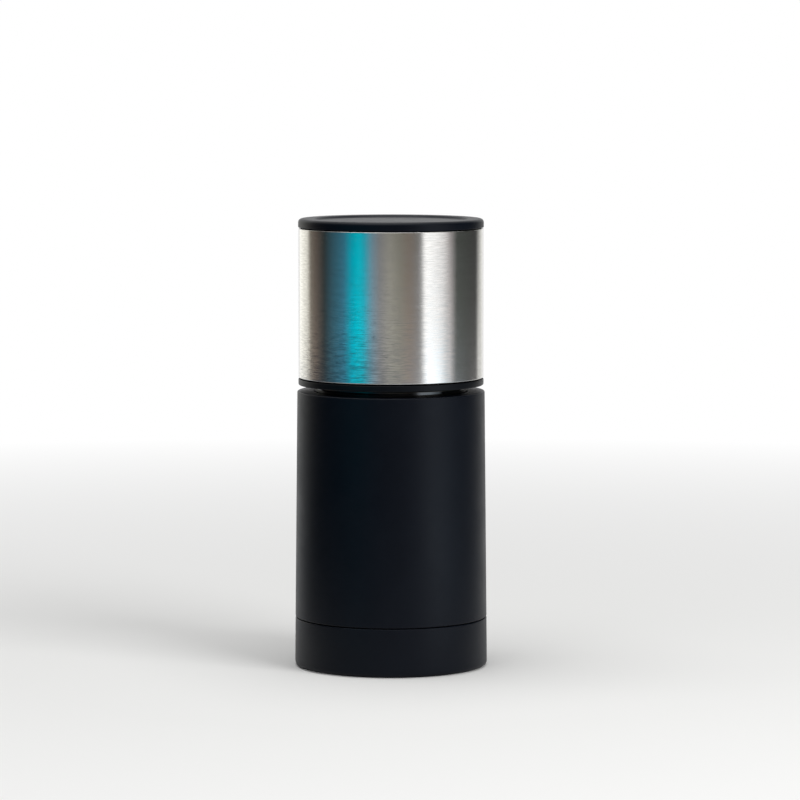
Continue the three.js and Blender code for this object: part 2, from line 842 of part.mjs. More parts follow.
// Compression spring: one unbroken wire, from the pressure plate up to the core's floor.
function spring() {
  const steps = springTurns * springStepsPerTurn;
  const positions = [];
  const faces = [];
  for (let step = 0; step <= steps; step++) {
    positions.push(...springSection(step));
  }
  for (let step = 0; step < steps; step++) {
    for (let side = 0; side < springWireSides; side++) {
      const a = step * springWireSides + side;
      const b = step * springWireSides + ((side + 1) % springWireSides);
      faces.push(a, a + springWireSides, b, b, a + springWireSides, b + springWireSides);
    }
  }
  const end = steps * springWireSides;
  for (let side = 1; side < springWireSides - 1; side++) {
    faces.push(0, side, side + 1);
    faces.push(end, end + side + 1, end + side);
  }
  return new THREE.BufferGeometry()
    .setAttribute("position", new THREE.BufferAttribute(new Float32Array(positions), 3))
    .setIndex(faces);
}

// The least gap between neighbouring turns, measured on the points of the spring.
function springGap() {
  const steps = springTurns * springStepsPerTurn;
  let least = Infinity;
  for (let step = 0; step <= steps - springStepsPerTurn; step++) {
    const below = springSection(step);
    const above = springSection(step + springStepsPerTurn);
    for (let i = 0; i < below.length; i += 3) {
      for (let j = 0; j < above.length; j += 3) {
        const apart = Math.hypot(above[j] - below[i], above[j + 1] - below[i + 1], above[j + 2] - below[i + 2]);
        least = Math.min(least, apart);
      }
    }
  }
  return least;
}

piece("bottom_cap", bottomCap(), softBlack);

piece("body_shell", casing(), softBlack);
piece("base_insert", baseInsert(), plainBlack);
piece("cap_seal_ring", sealRing(capRingOuter, capRingSection, capRingHeight), sealRubber);
piece("spice_chamber", chamber(), smokePlastic);
piece("neck_bush", neckBush(), glossBlack);
piece("collar_clip", openRing(clipInner, clipOuter, clipMouth, clipBottom, clipThickness, middleSides), springSteel);
piece("grater_blade", blade(), bladeSteel);
piece("blade_holder", bladeHolder(), plainBlack);
screwAngles.forEach((angle, i) => {
  const made = screw(bladeScrewSeat, bladeScrewLength, 1, screwRadius, screwHeadRadius);
  piece(`blade_screw_${i + 1}`, onCircle(made, bladeScrewCircle, angle), springSteel);
});

piece("turning_collar", collar(), softBlack);
piece("grip_seal_ring", sealRing(gripRingOuter, gripRingSection, gripRingHeight), sealRubber);

piece("grip_core", gripCore(), plainBlack);
piece("grip_sleeve", sleeve(), brushedSteel);
piece("top_cap", topCap(), softBlack);
piece("guide_bush", guideBush(), brass);
screwAngles.forEach((angle, i) => {
  const made = screw(bushScrewSeat, bushScrewLength, -1, screwRadius, screwHeadRadius);
  piece(`bush_screw_${i + 1}`, onCircle(made, bushScrewCircle, angle), springSteel);
});
piece("plunger_spring", spring(), springSteel);

piece("plunger_rod", plungerRod(), bladeSteel);
piece("pressure_plate", pressurePlate(), smokePlastic);
piece("plate_screw", screw(plateScrewSeat, plateScrewLength, 1, plateScrewRadius, plateScrewHeadRadius), springSteel);
pinAngles.forEach((angle, i) => {
  piece(`gripping_pin_${i + 1}`, onCircle(grippingPin(), pinCircle, angle), bladeSteel);
});
piece("stop_washer", stopWasher(), sealRubber);
piece(
  "stop_clip",
  openRing(
    rodSide / 2 - stopGroove + seatGap,
    stopClipRadius,
    stopClipMouth,
    stopClipBottom,
    stopClipThickness,
    middleSides / 2,
  ),
  springSteel,
);

console.log("least gap between the spring's turns:", springGap().toFixed(2), "mm");

export default mill;
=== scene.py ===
import math

import bmesh
import bpy
from mathutils import Matrix, Vector


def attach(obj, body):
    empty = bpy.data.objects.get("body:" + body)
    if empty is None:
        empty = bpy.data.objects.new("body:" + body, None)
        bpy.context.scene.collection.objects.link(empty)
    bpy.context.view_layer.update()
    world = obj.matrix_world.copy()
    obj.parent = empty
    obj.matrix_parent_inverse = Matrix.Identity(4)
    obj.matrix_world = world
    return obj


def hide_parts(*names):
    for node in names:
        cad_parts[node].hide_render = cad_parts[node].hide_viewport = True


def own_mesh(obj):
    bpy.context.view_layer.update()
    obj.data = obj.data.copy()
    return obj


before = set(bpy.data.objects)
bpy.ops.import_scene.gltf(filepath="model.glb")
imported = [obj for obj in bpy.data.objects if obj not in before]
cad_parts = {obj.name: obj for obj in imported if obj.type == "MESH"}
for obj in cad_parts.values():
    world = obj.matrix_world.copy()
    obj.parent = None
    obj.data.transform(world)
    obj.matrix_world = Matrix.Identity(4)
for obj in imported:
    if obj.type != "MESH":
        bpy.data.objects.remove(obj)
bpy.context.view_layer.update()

scene = bpy.context.scene
mm = 0.001
zAxis = Vector((0, 0, 1))

# Camera: a long lens a little above the mill, which stands a little left of the middle

camera = {"lens": 180, "sensorWidth": 36, "farLimit": 50, "distance": 1.232, "pitch": 5.2,
          "aim": (0.00277, 0, 0.08204)}


def newObject(name, data):
    made = bpy.data.objects.new(name, data)
    scene.collection.objects.link(made)
    return made


def placeCamera(settings):
    data = bpy.data.cameras.new("camera")
    data.lens = settings["lens"]
    data.sensor_width = settings["sensorWidth"]
    data.clip_end = settings["farLimit"]
    shooter = newObject("camera", data)
    pitch = math.radians(settings["pitch"])
    back = Vector((0, -math.cos(pitch), math.sin(pitch)))
    shooter.location = Vector(settings["aim"]) + back * settings["distance"]
    shooter.rotation_euler = (math.pi / 2 - pitch, 0, 0)
    scene.camera = shooter


placeCamera(camera)
scene.view_settings.view_transform = "Standard"


# Mesh and material helpers

def newMesh(name, bm):
    mesh = bpy.data.meshes.new(name)
    bm.to_mesh(mesh)
    bm.free()
    return mesh


def newMaterial(name):
    material = bpy.data.materials.new(name)
    material.use_nodes = True
    material.node_tree.nodes.clear()
    return material, material.node_tree


def shift(bm, distance):
    bmesh.ops.translate(bm, vec=distance, verts=bm.verts)


def rotate(bm, degrees, axis="Z"):
    turn = Matrix.Rotation(math.radians(degrees), 3, axis)
    bmesh.ops.rotate(bm, cent=(0, 0, 0), matrix=turn, verts=bm.verts)


def spin(bm, steps, degrees=360.0, rise=0.0, geom=None):
    # carries everything, or the given parts, round the mill's axis and up by the rise
    made = bmesh.ops.spin(bm, geom=geom or bm.verts[:] + bm.edges[:] + bm.faces[:], cent=(0, 0, 0),
                          axis=zAxis, dvec=(0, 0, rise / steps), angle=math.radians(degrees), steps=steps,
                          use_merge=degrees == 360 and not rise, use_normal_flip=False,
                          use_duplicate=False)
    return made["geom_last"]


# Node helpers

def place(tree, kind, values=None, **attributes):
    made = tree.nodes.new(kind)
    for name, value in attributes.items():
        setattr(made, name, value)
    for socket, value in (values or {}).items():
        if isinstance(value, bpy.types.NodeSocket):
            tree.links.new(value, made.inputs[socket])
        else:
            made.inputs[socket].default_value = value
    return made


def calc(tree, operation, first, second=0.0, clamp=False):
    values = {0: first, 1: second}
    return place(tree, "ShaderNodeMath", values, operation=operation, use_clamp=clamp).outputs[0]


def vectorCalc(tree, operation, first, second=(0, 0, 0), scale=1.0):
    made = place(tree, "ShaderNodeVectorMath", {0: first, 1: second, 3: scale}, operation=operation)
    return made.outputs["Value" if operation in ("LENGTH", "DOT_PRODUCT") else "Vector"]


def between(tree, value, low, high, newLow=0.0, newHigh=1.0):
    values = {"Value": value, "From Min": low, "From Max": high, "To Min": newLow, "To Max": newHigh}
    return place(tree, "ShaderNodeMapRange", values).outputs["Result"]


def blend(tree, factor, first, second):
    # the mix node takes its colours at inputs 6 and 7 and gives their blend at output 2
    first, second = [c if isinstance(c, bpy.types.NodeSocket) else (*c, 1) for c in (first, second)]
    return place(tree, "ShaderNodeMix", {0: factor, 6: first, 7: second}, data_type="RGBA").outputs[2]


def noise(tree, vector, scale, detail, roughness=0.5, distortion=0.0):
    values = {"Vector": vector, "Scale": scale, "Detail": detail, "Roughness": roughness,
              "Distortion": distortion}
    return place(tree, "ShaderNodeTexNoise", values).outputs["Fac"]


# Floor, surround and lamps

floor = {"size": 8, "colour": (0.84, 0.84, 0.83), "bounce": (0.4, 0.4, 0.4), "fadeStart": 0.12,
         "fadeEnd": 0.7, "footprint": 0.0285}
surround = {
    "radius": 0.42,
    "height": 0.45,
    "footRadius": 0.13,
    "clearance": 0.0012,
    "steps": 96,
    # height up the card and its brightness there, which its palest parts don't follow. A dark belt
    # faces the neck in its gap.
    "levels": [
        (0.0, (1.2, 1.2, 1.2)),
        (0.012, (0.9, 0.85, 0.85)),
        (0.0465, (0.9, 0.85, 0.85)),
        (0.0475, (0.03, 0.03, 0.03)),
        (0.053, (0.03, 0.03, 0.03)),
        (0.054, (2.0, 2.0, 2.0)),
        (0.062, (1.9, 1.9, 1.9)),
        (0.07, (1.5, 1.5, 1.5)),
        (0.085, (1.15, 1.15, 1.15)),
        (0.17, (0.3, 0.3, 0.3)),
        (0.45, (0.2, 0.2, 0.2)),
    ],
    # a tone counts as partly pale from the first of these and as wholly pale from the second
    "pale": (0.55, 0.8),
    # the card's foot has colours of its own, up to a soft border between these two heights
    "footBorder": (0.053, 0.054),
    "footStops": [
        (-152, (0.95, 0.97, 0.97)),
        (-130, (0.70, 0.72, 0.74)),
        (-108, (0.05, 0.06, 0.08)),
        (-60, (0.02, 0.07, 0.12)),
        (-35, (0.03, 0.10, 0.15)),
        (-10, (0.12, 0.15, 0.19)),
        (28, (0.48, 0.51, 0.55)),
        (38, (0.62, 0.65, 0.70)),
        (46, (2.10, 2.35, 2.60)),
        (60, (1.90, 2.20, 2.45)),
        (72, (0.78, 0.95, 1.06)),
        (84, (0.42, 0.49, 0.54)),
        (110, (0.26, 0.28, 0.30)),
        (152, (1.00, 1.00, 0.98)),
    ],
    # degrees from the camera, positive to its right, and the brightness of the card there
    "stops": [
        (-152, (1.45, 1.45, 1.36)),
        (-124, (1.05, 1.03, 0.94)),
        (-116, (0.26, 0.23, 0.19)),
        (-104, (0.16, 0.13, 0.11)),
        (-88, (0.04, 0.05, 0.05)),
        (-68, (0.05, 0.17, 0.24)),
        (-58, (0.05, 0.24, 0.36)),
        (-48, (0.00, 0.54, 0.72)),
        (-39, (0.00, 0.76, 0.94)),
        (-32, (0.02, 0.58, 0.76)),
        (-22, (0.25, 0.40, 0.50)),
        (-13, (0.33, 0.33, 0.34)),
        (-2, (0.43, 0.42, 0.37)),
        (10, (0.32, 0.31, 0.26)),
        (22, (0.28, 0.23, 0.19)),
        (33, (0.24, 0.23, 0.22)),
        (37, (0.40, 0.40, 0.40)),
        (41, (1.60, 1.60, 1.60)),
        (50, (1.42, 1.42, 1.42)),
        (66, (1.05, 1.03, 1.03)),
        (75, (0.60, 0.56, 0.56)),
        (86, (0.09, 0.10, 0.09)),
        (128, (0.07, 0.07, 0.07)),
        (138, (0.60, 0.60, 0.58)),
        (152, (1.10, 1.10, 1.06)),
    ],
}
lamps = [
    {"name": "topSoftbox", "at": (-0.1, -0.05, 1.25), "size": (1.1, 1.1), "power": 11.0, "glossy": True},
    {"name": "keySoftbox", "at": (0.72, -0.72, 0.5), "size": (0.6, 0.8), "power": 8.0, "glossy": False},
    {"name": "fillSoftbox", "at": (-0.8, -0.9, 0.4), "size": (0.8, 0.8), "power": 1.2, "glossy": False},
]
lampAim = Vector((0, 0, 0.07))
fillLevel = 0.16  # what the room adds on matt surfaces
white = (1, 1, 1, 1)


def shinyOrSeen(tree):
    rays = place(tree, "ShaderNodeLightPath").outputs
    total = calc(tree, "ADD", rays["Is Camera Ray"], rays["Is Glossy Ray"])
    return calc(tree, "ADD", total, rays["Is Transmission Ray"], clamp=True)


def makeRoom():
    world = bpy.data.worlds.new("room")
    world.use_nodes = True
    tree = world.node_tree
    tree.nodes.clear()
    strength = between(tree, shinyOrSeen(tree), 0, 1, fillLevel, 1)
    light = place(tree, "ShaderNodeBackground", {"Color": white, "Strength": strength})
    place(tree, "ShaderNodeOutputWorld", {"Surface": light.outputs[0]})
    scene.world = world


def makeFloor(settings):
    bm = bmesh.new()
    bmesh.ops.create_grid(bm, x_segments=1, y_segments=1, size=settings["size"] / 2)
    plane = newObject("floor", newMesh("floor", bm))
    material, tree = newMaterial("paleFloor")
    seen = shinyOrSeen(tree)
    colour = blend(tree, seen, settings["bounce"], settings["colour"])
    matt = place(tree, "ShaderNodeBsdfDiffuse", {"Color": colour}).outputs[0]
    glow = place(tree, "ShaderNodeEmission", {"Color": white, "Strength": 1.0}).outputs[0]
    away = vectorCalc(tree, "LENGTH", place(tree, "ShaderNodeTexCoord").outputs["Object"])
    fade = between(tree, away, settings["fadeStart"], settings["fadeEnd"])
    fade = calc(tree, "MULTIPLY", fade, seen)
    shown = place(tree, "ShaderNodeMixShader", {0: fade, 1: matt, 2: glow}).outputs[0]
    # the floor is clear from below and under the foot, so that the foot can be looked at
    clear = place(tree, "ShaderNodeBsdfTransparent").outputs[0]
    below = place(tree, "ShaderNodeNewGeometry").outputs["Backfacing"]
    under = calc(tree, "LESS_THAN", away, settings["footprint"])
    hidden = calc(tree, "MAXIMUM", below, under)
    both = place(tree, "ShaderNodeMixShader", {0: hidden, 1: shown, 2: clear})
    place(tree, "ShaderNodeOutputMaterial", {"Surface": both.outputs[0]})
    plane.data.materials.append(material)


def makeCard(settings, start, end):
    # a curved card on part of a circle round the mill, which only shiny surfaces see
    low, radius = settings["clearance"], settings["radius"]
    bm = bmesh.new()
    points = [(settings["footRadius"], low), (radius, low), (radius, settings["height"])]
    line = [bm.verts.new((x, 0, z)) for x, z in points]
    for pair in zip(line, line[1:]):
        bm.edges.new(pair)
    rotate(bm, start - 90)  # the camera's own direction is -Y
    spin(bm, settings["steps"], end - start)
    card = newObject("surroundCard", newMesh("surroundCard", bm))
    for rays in ("camera", "diffuse", "transmission", "volume_scatter", "shadow"):
        setattr(card, f"visible_{rays}", False)
    material, tree = newMaterial("surroundCard")
    material.cycles.emission_sampling = "NONE"
    card.data.materials.append(material)
    return tree


def colourRamp(tree, position, stops, start, end, brightest):
    # a ramp from start to end that holds each stop's colour as a share of the brightest
    made = place(tree, "ShaderNodeValToRGB", {0: position})
    points = made.color_ramp.elements
    while len(points) < len(stops):
        points.new(1.0)
    for point, (spot, colour) in zip(points, stops):
        point.position = (spot - start) / (end - start)
        point.color = (*[c / brightest for c in colour], 1)
    return made.outputs["Color"]


def makeSurround(settings):
    stops, footStops, levels = settings["stops"], settings["footStops"], settings["levels"]
    start, end = stops[0][0], stops[-1][0]
    tree = makeCard(settings, start, end)
    spot = place(tree, "ShaderNodeTexCoord").outputs["Object"]
    spot = place(tree, "ShaderNodeSeparateXYZ", {0: spot}).outputs
    angle = calc(tree, "ARCTAN2", spot["X"], calc(tree, "MULTIPLY", spot["Y"], -1.0))
    turn = between(tree, angle, math.radians(start), math.radians(end))
    brightest = max(max(colour) for _, colour in stops + footStops)
    upper, foot = [colourRamp(tree, turn, row, start, end, brightest) for row in (stops, footStops)]
    colour = blend(tree, between(tree, spot["Z"], *settings["footBorder"]), foot, upper)
    peak = max(max(level) for _, level in levels)
    height = settings["height"]
    rise = colourRamp(tree, between(tree, spot["Z"], 0, height), levels, 0, height, peak)
    steady = between(tree, colour, *[limit / brightest for limit in settings["pale"]])
    level = blend(tree, steady, rise, [1 / peak] * 3)
    colour = vectorCalc(tree, "MULTIPLY", colour, level)
    light = place(tree, "ShaderNodeEmission", {"Color": colour, "Strength": peak * brightest})
    place(tree, "ShaderNodeOutputMaterial", {"Surface": light.outputs[0]})


def makeLamp(settings):
    data = bpy.data.lights.new(settings["name"], "AREA")
    data.shape = "RECTANGLE"
    data.size, data.size_y = settings["size"]
    data.energy = settings["power"]
    softbox = newObject(settings["name"], data)
    softbox.location = settings["at"]
    softbox.rotation_euler = (lampAim - softbox.location).to_track_quat("-Z", "Y").to_euler()
    softbox.visible_glossy = settings["glossy"]  # the card stands for the other lamps on shiny surfaces


makeRoom()
makeFloor(floor)
makeSurround(surround)
for lamp in lamps:
    makeLamp(lamp)
print("studio set")


# Effects that several finishes share. Their patterns are in millimetres.

def newEffect(name, numbers, results):
    # a node group that takes a vector and some numbers
    tree = bpy.data.node_groups.new(name, "ShaderNodeTree")
    tree.interface.new_socket("Vector", in_out="INPUT", socket_type="NodeSocketVector")
    for title, value in numbers.items():
        socket = tree.interface.new_socket(title, in_out="INPUT", socket_type="NodeSocketFloat")
        socket.default_value = value
    for title in results:
        kind = "NodeSocketVector" if title == "Normal" else "NodeSocketFloat"
        tree.interface.new_socket(title, in_out="OUTPUT", socket_type=kind)
    return tree, place(tree, "NodeGroupInput").outputs


def pushed(tree, direction, amount, pattern):
    # the direction times the amount, by how far the pattern is above or below its middle
    made = place(tree, "ShaderNodeVectorTransform", {0: direction}, vector_type="VECTOR",
                 convert_from="OBJECT", convert_to="WORLD")
    share = calc(tree, "MULTIPLY", calc(tree, "SUBTRACT", pattern, 0.5), amount)
    return vectorCalc(tree, "SCALE", made.outputs[0], scale=share)


def turnedLinesEffect():
    # fine lines round the mill's axis, on walls and on flat faces. Each line tilts a little across
    # its length and leans a little along it, which frays what the metal reflects.
    numbers = {"Lines": 3.0, "Length": 1.5, "Depth": 0.000003, "Tilt": 0.0, "Lean": 0.0}
    tree, given = newEffect("turnedLines", numbers, ["Lines", "Streaks", "Normal"])
    spot = place(tree, "ShaderNodeSeparateXYZ", {0: given["Vector"]}).outputs
    flat = place(tree, "ShaderNodeCombineXYZ", {"X": spot["X"], "Y": spot["Y"]}).outputs[0]
    outward = vectorCalc(tree, "NORMALIZE", flat)
    along = calc(tree, "ADD", vectorCalc(tree, "LENGTH", flat), spot["Z"])
    along = calc(tree, "MULTIPLY", along, given["Lines"])
    path = vectorCalc(tree, "ADD", vectorCalc(tree, "SCALE", outward, scale=given["Length"]),
                      place(tree, "ShaderNodeCombineXYZ", {"Z": along}).outputs[0])
    fine = noise(tree, path, 1.0, 3.0, 0.65)
    broad = noise(tree, path, 0.21, 3.0, 0.6)
    elsewhere = vectorCalc(tree, "ADD", path, (31.0, 17.0, 53.0))
    leaning = noise(tree, elsewhere, 1.0, 2.0, 0.6)
    sideways = vectorCalc(tree, "CROSS_PRODUCT", (0, 0, 1), outward)
    across = vectorCalc(tree, "ADD", (0, 0, 1), outward)
    push = vectorCalc(tree, "ADD", pushed(tree, sideways, given["Lean"], leaning),
                      pushed(tree, across, given["Tilt"], fine))
    bump = place(tree, "ShaderNodeBump", {"Height": fine, "Strength": 1.0, "Distance": given["Depth"]})
    normal = vectorCalc(tree, "NORMALIZE", vectorCalc(tree, "ADD", bump.outputs[0], push))
    place(tree, "NodeGroupOutput", {"Lines": between(tree, fine, 0.3, 0.7),
                                    "Streaks": between(tree, broad, 0.3, 0.7), "Normal": normal})
    return tree


def mouldedGrainEffect():
    # the fine skin of a moulded or soft-coated surface
    tree, given = newEffect("mouldedGrain", {"Fineness": 3.0}, ["Height", "Mottle"])
    vector, fineness = given["Vector"], given["Fineness"]
    cells = place(tree, "ShaderNodeTexVoronoi", {"Vector": vector, "Scale": fineness}, feature="SMOOTH_F1")
    cloud = noise(tree, vector, calc(tree, "MULTIPLY", fineness, 2.3), 2.0)
    mottle = noise(tree, vector, 0.11, 4.0, 0.6)
    height = calc(tree, "ADD", calc(tree, "MULTIPLY", cells.outputs["Distance"], 0.7), cloud)
    place(tree, "NodeGroupOutput", {"Height": height, "Mottle": between(tree, mottle, 0.32, 0.68)})
    return tree


def edgeWearAndHighlightEffect():
    # pale where an edge is rubbed. On the soft coat this paler edge also paints a highlight line along the
    # casing's rim.
    tree, given = newEffect("edgeWearAndHighlight", {"Radius": 0.0005, "Amount": 1.0}, ["Mask"])
    soft = place(tree, "ShaderNodeBevel", {"Radius": given["Radius"]}, samples=6).outputs[0]
    sharp = place(tree, "ShaderNodeNewGeometry").outputs["Normal"]
    edge = between(tree, vectorCalc(tree, "DOT_PRODUCT", soft, sharp), 0.995, 0.88)
    patches = between(tree, noise(tree, given["Vector"], 0.9, 5.0, 0.65), 0.35, 0.7, 0.25, 1.0)
    mask = calc(tree, "MULTIPLY", calc(tree, "MULTIPLY", edge, patches), given["Amount"], clamp=True)
    place(tree, "NodeGroupOutput", {"Mask": mask})
    return tree


def handlingEffect():
    # faint smears and specks left by fingers and packing
    tree, given = newEffect("handling", {"Size": 14.0}, ["Smears", "Specks"])
    smear = noise(tree, given["Vector"], calc(tree, "DIVIDE", 1.0, given["Size"]), 5.0, 0.7, 0.8)
    speck = place(tree, "ShaderNodeTexVoronoi", {"Vector": given["Vector"], "Scale": 0.55})
    dots = between(tree, speck.outputs["Distance"], 0.1, 0.04)
    place(tree, "NodeGroupOutput", {"Smears": between(tree, smear, 0.42, 0.68), "Specks": dots})
    return tree


turnedLines = turnedLinesEffect()
mouldedGrain = mouldedGrainEffect()
edgeWearAndHighlight = edgeWearAndHighlightEffect()
handling = handlingEffect()


# Finishes

mottleRoughness = 0.03
wearPolish = 0.1
plainTilt = 0.05  # tilt of the lines on metal that isn't brushed


def useEffect(tree, group, values):
    return place(tree, "ShaderNodeGroup", values, node_tree=group).outputs


def newFinish(name, look):
    # a material with the wear and marks that plastics and metals share. On the soft coat the edge wear
    # also paints a highlight along the casing's rim edge.
    material, tree = newMaterial(name)
    spot = place(tree, "ShaderNodeTexCoord").outputs["Object"]
    grid = place(tree, "ShaderNodeMapping", {"Vector": spot, "Scale": [1 / mm] * 3}).outputs[0]
    radius, amount = look["wearRadius"] * mm, look["wearAndHighlight"]
    wearAndHighlight = useEffect(tree, edgeWearAndHighlight, {"Vector": grid, "Radius": radius, "Amount": amount})
    marks = useEffect(tree, handling, {"Vector": grid, "Size": look["smearSize"]})
    return material, tree, grid, wearAndHighlight["Mask"], marks


def addShader(tree, values):
    shader = place(tree, "ShaderNodeBsdfPrincipled", values)
    place(tree, "ShaderNodeOutputMaterial", {"Surface": shader.outputs[0]})


def plasticFinish(name, look):
    material, tree, grid, wearAndHighlight, marks = newFinish(name, look)
    grain = useEffect(tree, mouldedGrain, {"Vector": grid, "Fineness": look["fineness"]})
    base = blend(tree, grain["Mottle"], look["colour"], look["paler"])
    base = blend(tree, calc(tree, "MULTIPLY", marks["Specks"], look["specks"]), base, look["wornAndHighlight"])
    # paler rubbed edges, which on the soft coat are also a painted highlight along the casing's rim
    base = blend(tree, wearAndHighlight, base, look["wornAndHighlight"])
    rough = between(tree, marks["Smears"], 0, 1, look["roughness"], look["roughness"] + look["smear"])
    rough = calc(tree, "ADD", rough, calc(tree, "MULTIPLY", grain["Mottle"], mottleRoughness))
    rough = calc(tree, "SUBTRACT", rough, calc(tree, "MULTIPLY", wearAndHighlight, wearPolish))
    bump = place(tree, "ShaderNodeBump", {"Height": grain["Height"], "Strength": 1.0,
                                          "Distance": look["depth"] * mm})
    addShader(tree, {"Specular IOR Level": look["specular"], "Base Color": base, "Roughness": rough,
                     "Normal": bump.outputs[0]})
    return material


def metalFinish(name, look):
    material, tree, grid, wearAndHighlight, marks = newFinish(name, look)
    lines = useEffect(tree, turnedLines, {
        "Vector": grid, "Lines": look["lines"], "Length": look["length"], "Depth": look["depth"] * mm,
        "Tilt": look.get("tilt", plainTilt), "Lean": look.get("lean", 0.0),
    })
    base = blend(tree, lines["Lines"], look["colour"], look["paler"])
    base = blend(tree, calc(tree, "MULTIPLY", marks["Smears"], look["smearTint"]), base, look["smeared"])
    base = blend(tree, wearAndHighlight, base, look["wornAndHighlight"])
    middle, spread = look["roughness"], look["spread"]
    rough = between(tree, lines["Streaks"], 0, 1, middle - spread, middle + spread)
    rough = calc(tree, "ADD", rough, calc(tree, "MULTIPLY", marks["Smears"], look["smear"]))
    values = {"Metallic": 1.0, "Base Color": base, "Roughness": rough, "Normal": lines["Normal"]}
    if "stretch" in look:
        tangent = place(tree, "ShaderNodeTangent", direction_type="RADIAL", axis="Z").outputs[0]
        values.update({"Anisotropic": look["stretch"], "Anisotropic Rotation": look["turn"],
                       "Tangent": tangent})
    addShader(tree, values)
    return material


# the soft coat's worn colour and wear amount make rubbed edges and also paint a highlight line along the
# casing's rim edge
softCoat = plasticFinish("softCoat", {
    "colour": (0.0017, 0.0028, 0.0060), "paler": (0.0024, 0.0038, 0.0074), "wornAndHighlight": (0.028, 0.031, 0.039),
    "specular": 0.14, "roughness": 0.38, "smear": 0.06, "smearSize": 22.0, "specks": 0.05,
    "fineness": 3.2, "depth": 0.012, "wearRadius": 0.5, "wearAndHighlight": 0.5,
})
satinBlack = plasticFinish("satinBlack", {
    "colour": (0.0018, 0.0026, 0.0040), "paler": (0.0024, 0.0034, 0.0050), "wornAndHighlight": (0.020, 0.023, 0.027),
    "specular": 0.14, "roughness": 0.37, "smear": 0.06, "smearSize": 18.0, "specks": 0.06,
    "fineness": 3.6, "depth": 0.008, "wearRadius": 0.4, "wearAndHighlight": 0.4,
})
polishedBlack = plasticFinish("polishedBlack", {
    "colour": (0.0012, 0.0013, 0.0016), "paler": (0.0018, 0.0019, 0.0022), "wornAndHighlight": (0.012, 0.012, 0.014),
    "specular": 0.7, "roughness": 0.015, "smear": 0.015, "smearSize": 12.0, "specks": 0.1,
    "fineness": 0.9, "depth": 0.001, "wearRadius": 0.3, "wearAndHighlight": 0.25,
})
mouldedBlack = plasticFinish("mouldedBlack", {
    "colour": (0.014, 0.015, 0.017), "paler": (0.019, 0.020, 0.022), "wornAndHighlight": (0.06, 0.062, 0.066),
    "specular": 0.45, "roughness": 0.42, "smear": 0.1, "smearSize": 9.0, "specks": 0.2,
    "fineness": 4.2, "depth": 0.012, "wearRadius": 0.35, "wearAndHighlight": 0.45,
})
smokyPlastic = plasticFinish("smokyPlastic", {
    "colour": (0.022, 0.024, 0.027), "paler": (0.030, 0.032, 0.036), "wornAndHighlight": (0.08, 0.084, 0.09),
    "specular": 0.5, "roughness": 0.2, "smear": 0.12, "smearSize": 8.0, "specks": 0.3,
    "fineness": 1.2, "depth": 0.004, "wearRadius": 0.3, "wearAndHighlight": 0.35,
})
sealRubber = plasticFinish("sealRubber", {
    "colour": (0.012, 0.012, 0.013), "paler": (0.018, 0.018, 0.019), "wornAndHighlight": (0.05, 0.05, 0.05),
    "specular": 0.35, "roughness": 0.62, "smear": 0.1, "smearSize": 6.0, "specks": 0.3,
    "fineness": 6.0, "depth": 0.01, "wearRadius": 0.2, "wearAndHighlight": 0.2,
})
brushedSteel = metalFinish("brushedSteel", {
    "colour": (0.53, 0.52, 0.50), "paler": (0.74, 0.73, 0.71), "wornAndHighlight": (0.8, 0.79, 0.77),
    "smeared": (0.56, 0.55, 0.54), "smearTint": 0.15, "roughness": 0.16, "spread": 0.02, "smear": 0.03,
    "smearSize": 16.0, "lines": 3.3, "length": 9.0, "depth": 0.004, "tilt": 0.17, "lean": 0.02,
    "stretch": 0.6, "turn": 0.25, "wearRadius": 0.35, "wearAndHighlight": 0.5,
})
etchedSteel = metalFinish("etchedSteel", {
    "colour": (0.58, 0.58, 0.58), "paler": (0.68, 0.68, 0.67), "wornAndHighlight": (0.85, 0.85, 0.84),
    "smeared": (0.45, 0.44, 0.42), "smearTint": 0.4, "roughness": 0.24, "spread": 0.04, "smear": 0.12,
    "smearSize": 5.0, "lines": 2.2, "length": 4.0, "depth": 0.003, "wearRadius": 0.1, "wearAndHighlight": 0.6,
})
springSteel = metalFinish("springSteel", {
    "colour": (0.42, 0.43, 0.44), "paler": (0.52, 0.53, 0.54), "wornAndHighlight": (0.7, 0.7, 0.7),
    "smeared": (0.30, 0.28, 0.26), "smearTint": 0.4, "roughness": 0.22, "spread": 0.05, "smear": 0.1,
    "smearSize": 4.0, "lines": 4.0, "length": 3.0, "depth": 0.003, "wearRadius": 0.1, "wearAndHighlight": 0.4,
})
turnedBrass = metalFinish("turnedBrass", {
    "colour": (0.56, 0.39, 0.15), "paler": (0.66, 0.48, 0.21), "wornAndHighlight": (0.8, 0.64, 0.33),
    "smeared": (0.36, 0.23, 0.09), "smearTint": 0.5, "roughness": 0.26, "spread": 0.05, "smear": 0.12,
    "smearSize": 5.0, "lines": 3.0, "length": 1.2, "depth": 0.005, "wearRadius": 0.2, "wearAndHighlight": 0.5,
})
print("finishes mixed")


# Shaping helpers. Shapes are made in millimetres and become metres when a piece is finished.

weld = 1e-4  # points nearer to each other than this are one
past = 1  # how far a cutting tool runs past the faces that it cuts
creaseAngle = math.radians(32)
largeFaceWeight = 80  # how strongly the larger faces lead the shading, where 50 is even


def rounded(bm, geom, size, arc, kind="EDGES"):
    bmesh.ops.bevel(bm, geom=geom, offset=size, offset_type="OFFSET", segments=arc, profile=0.5,
                    affect=kind, material=-1)


def sealed(bm):
    # one closed skin with its faces turned outwards
    bmesh.ops.remove_doubles(bm, verts=bm.verts, dist=weld)
    bmesh.ops.holes_fill(bm, edges=[e for e in bm.edges if e.is_boundary], sides=0)
    bmesh.ops.recalc_face_normals(bm, faces=bm.faces)
    return bm


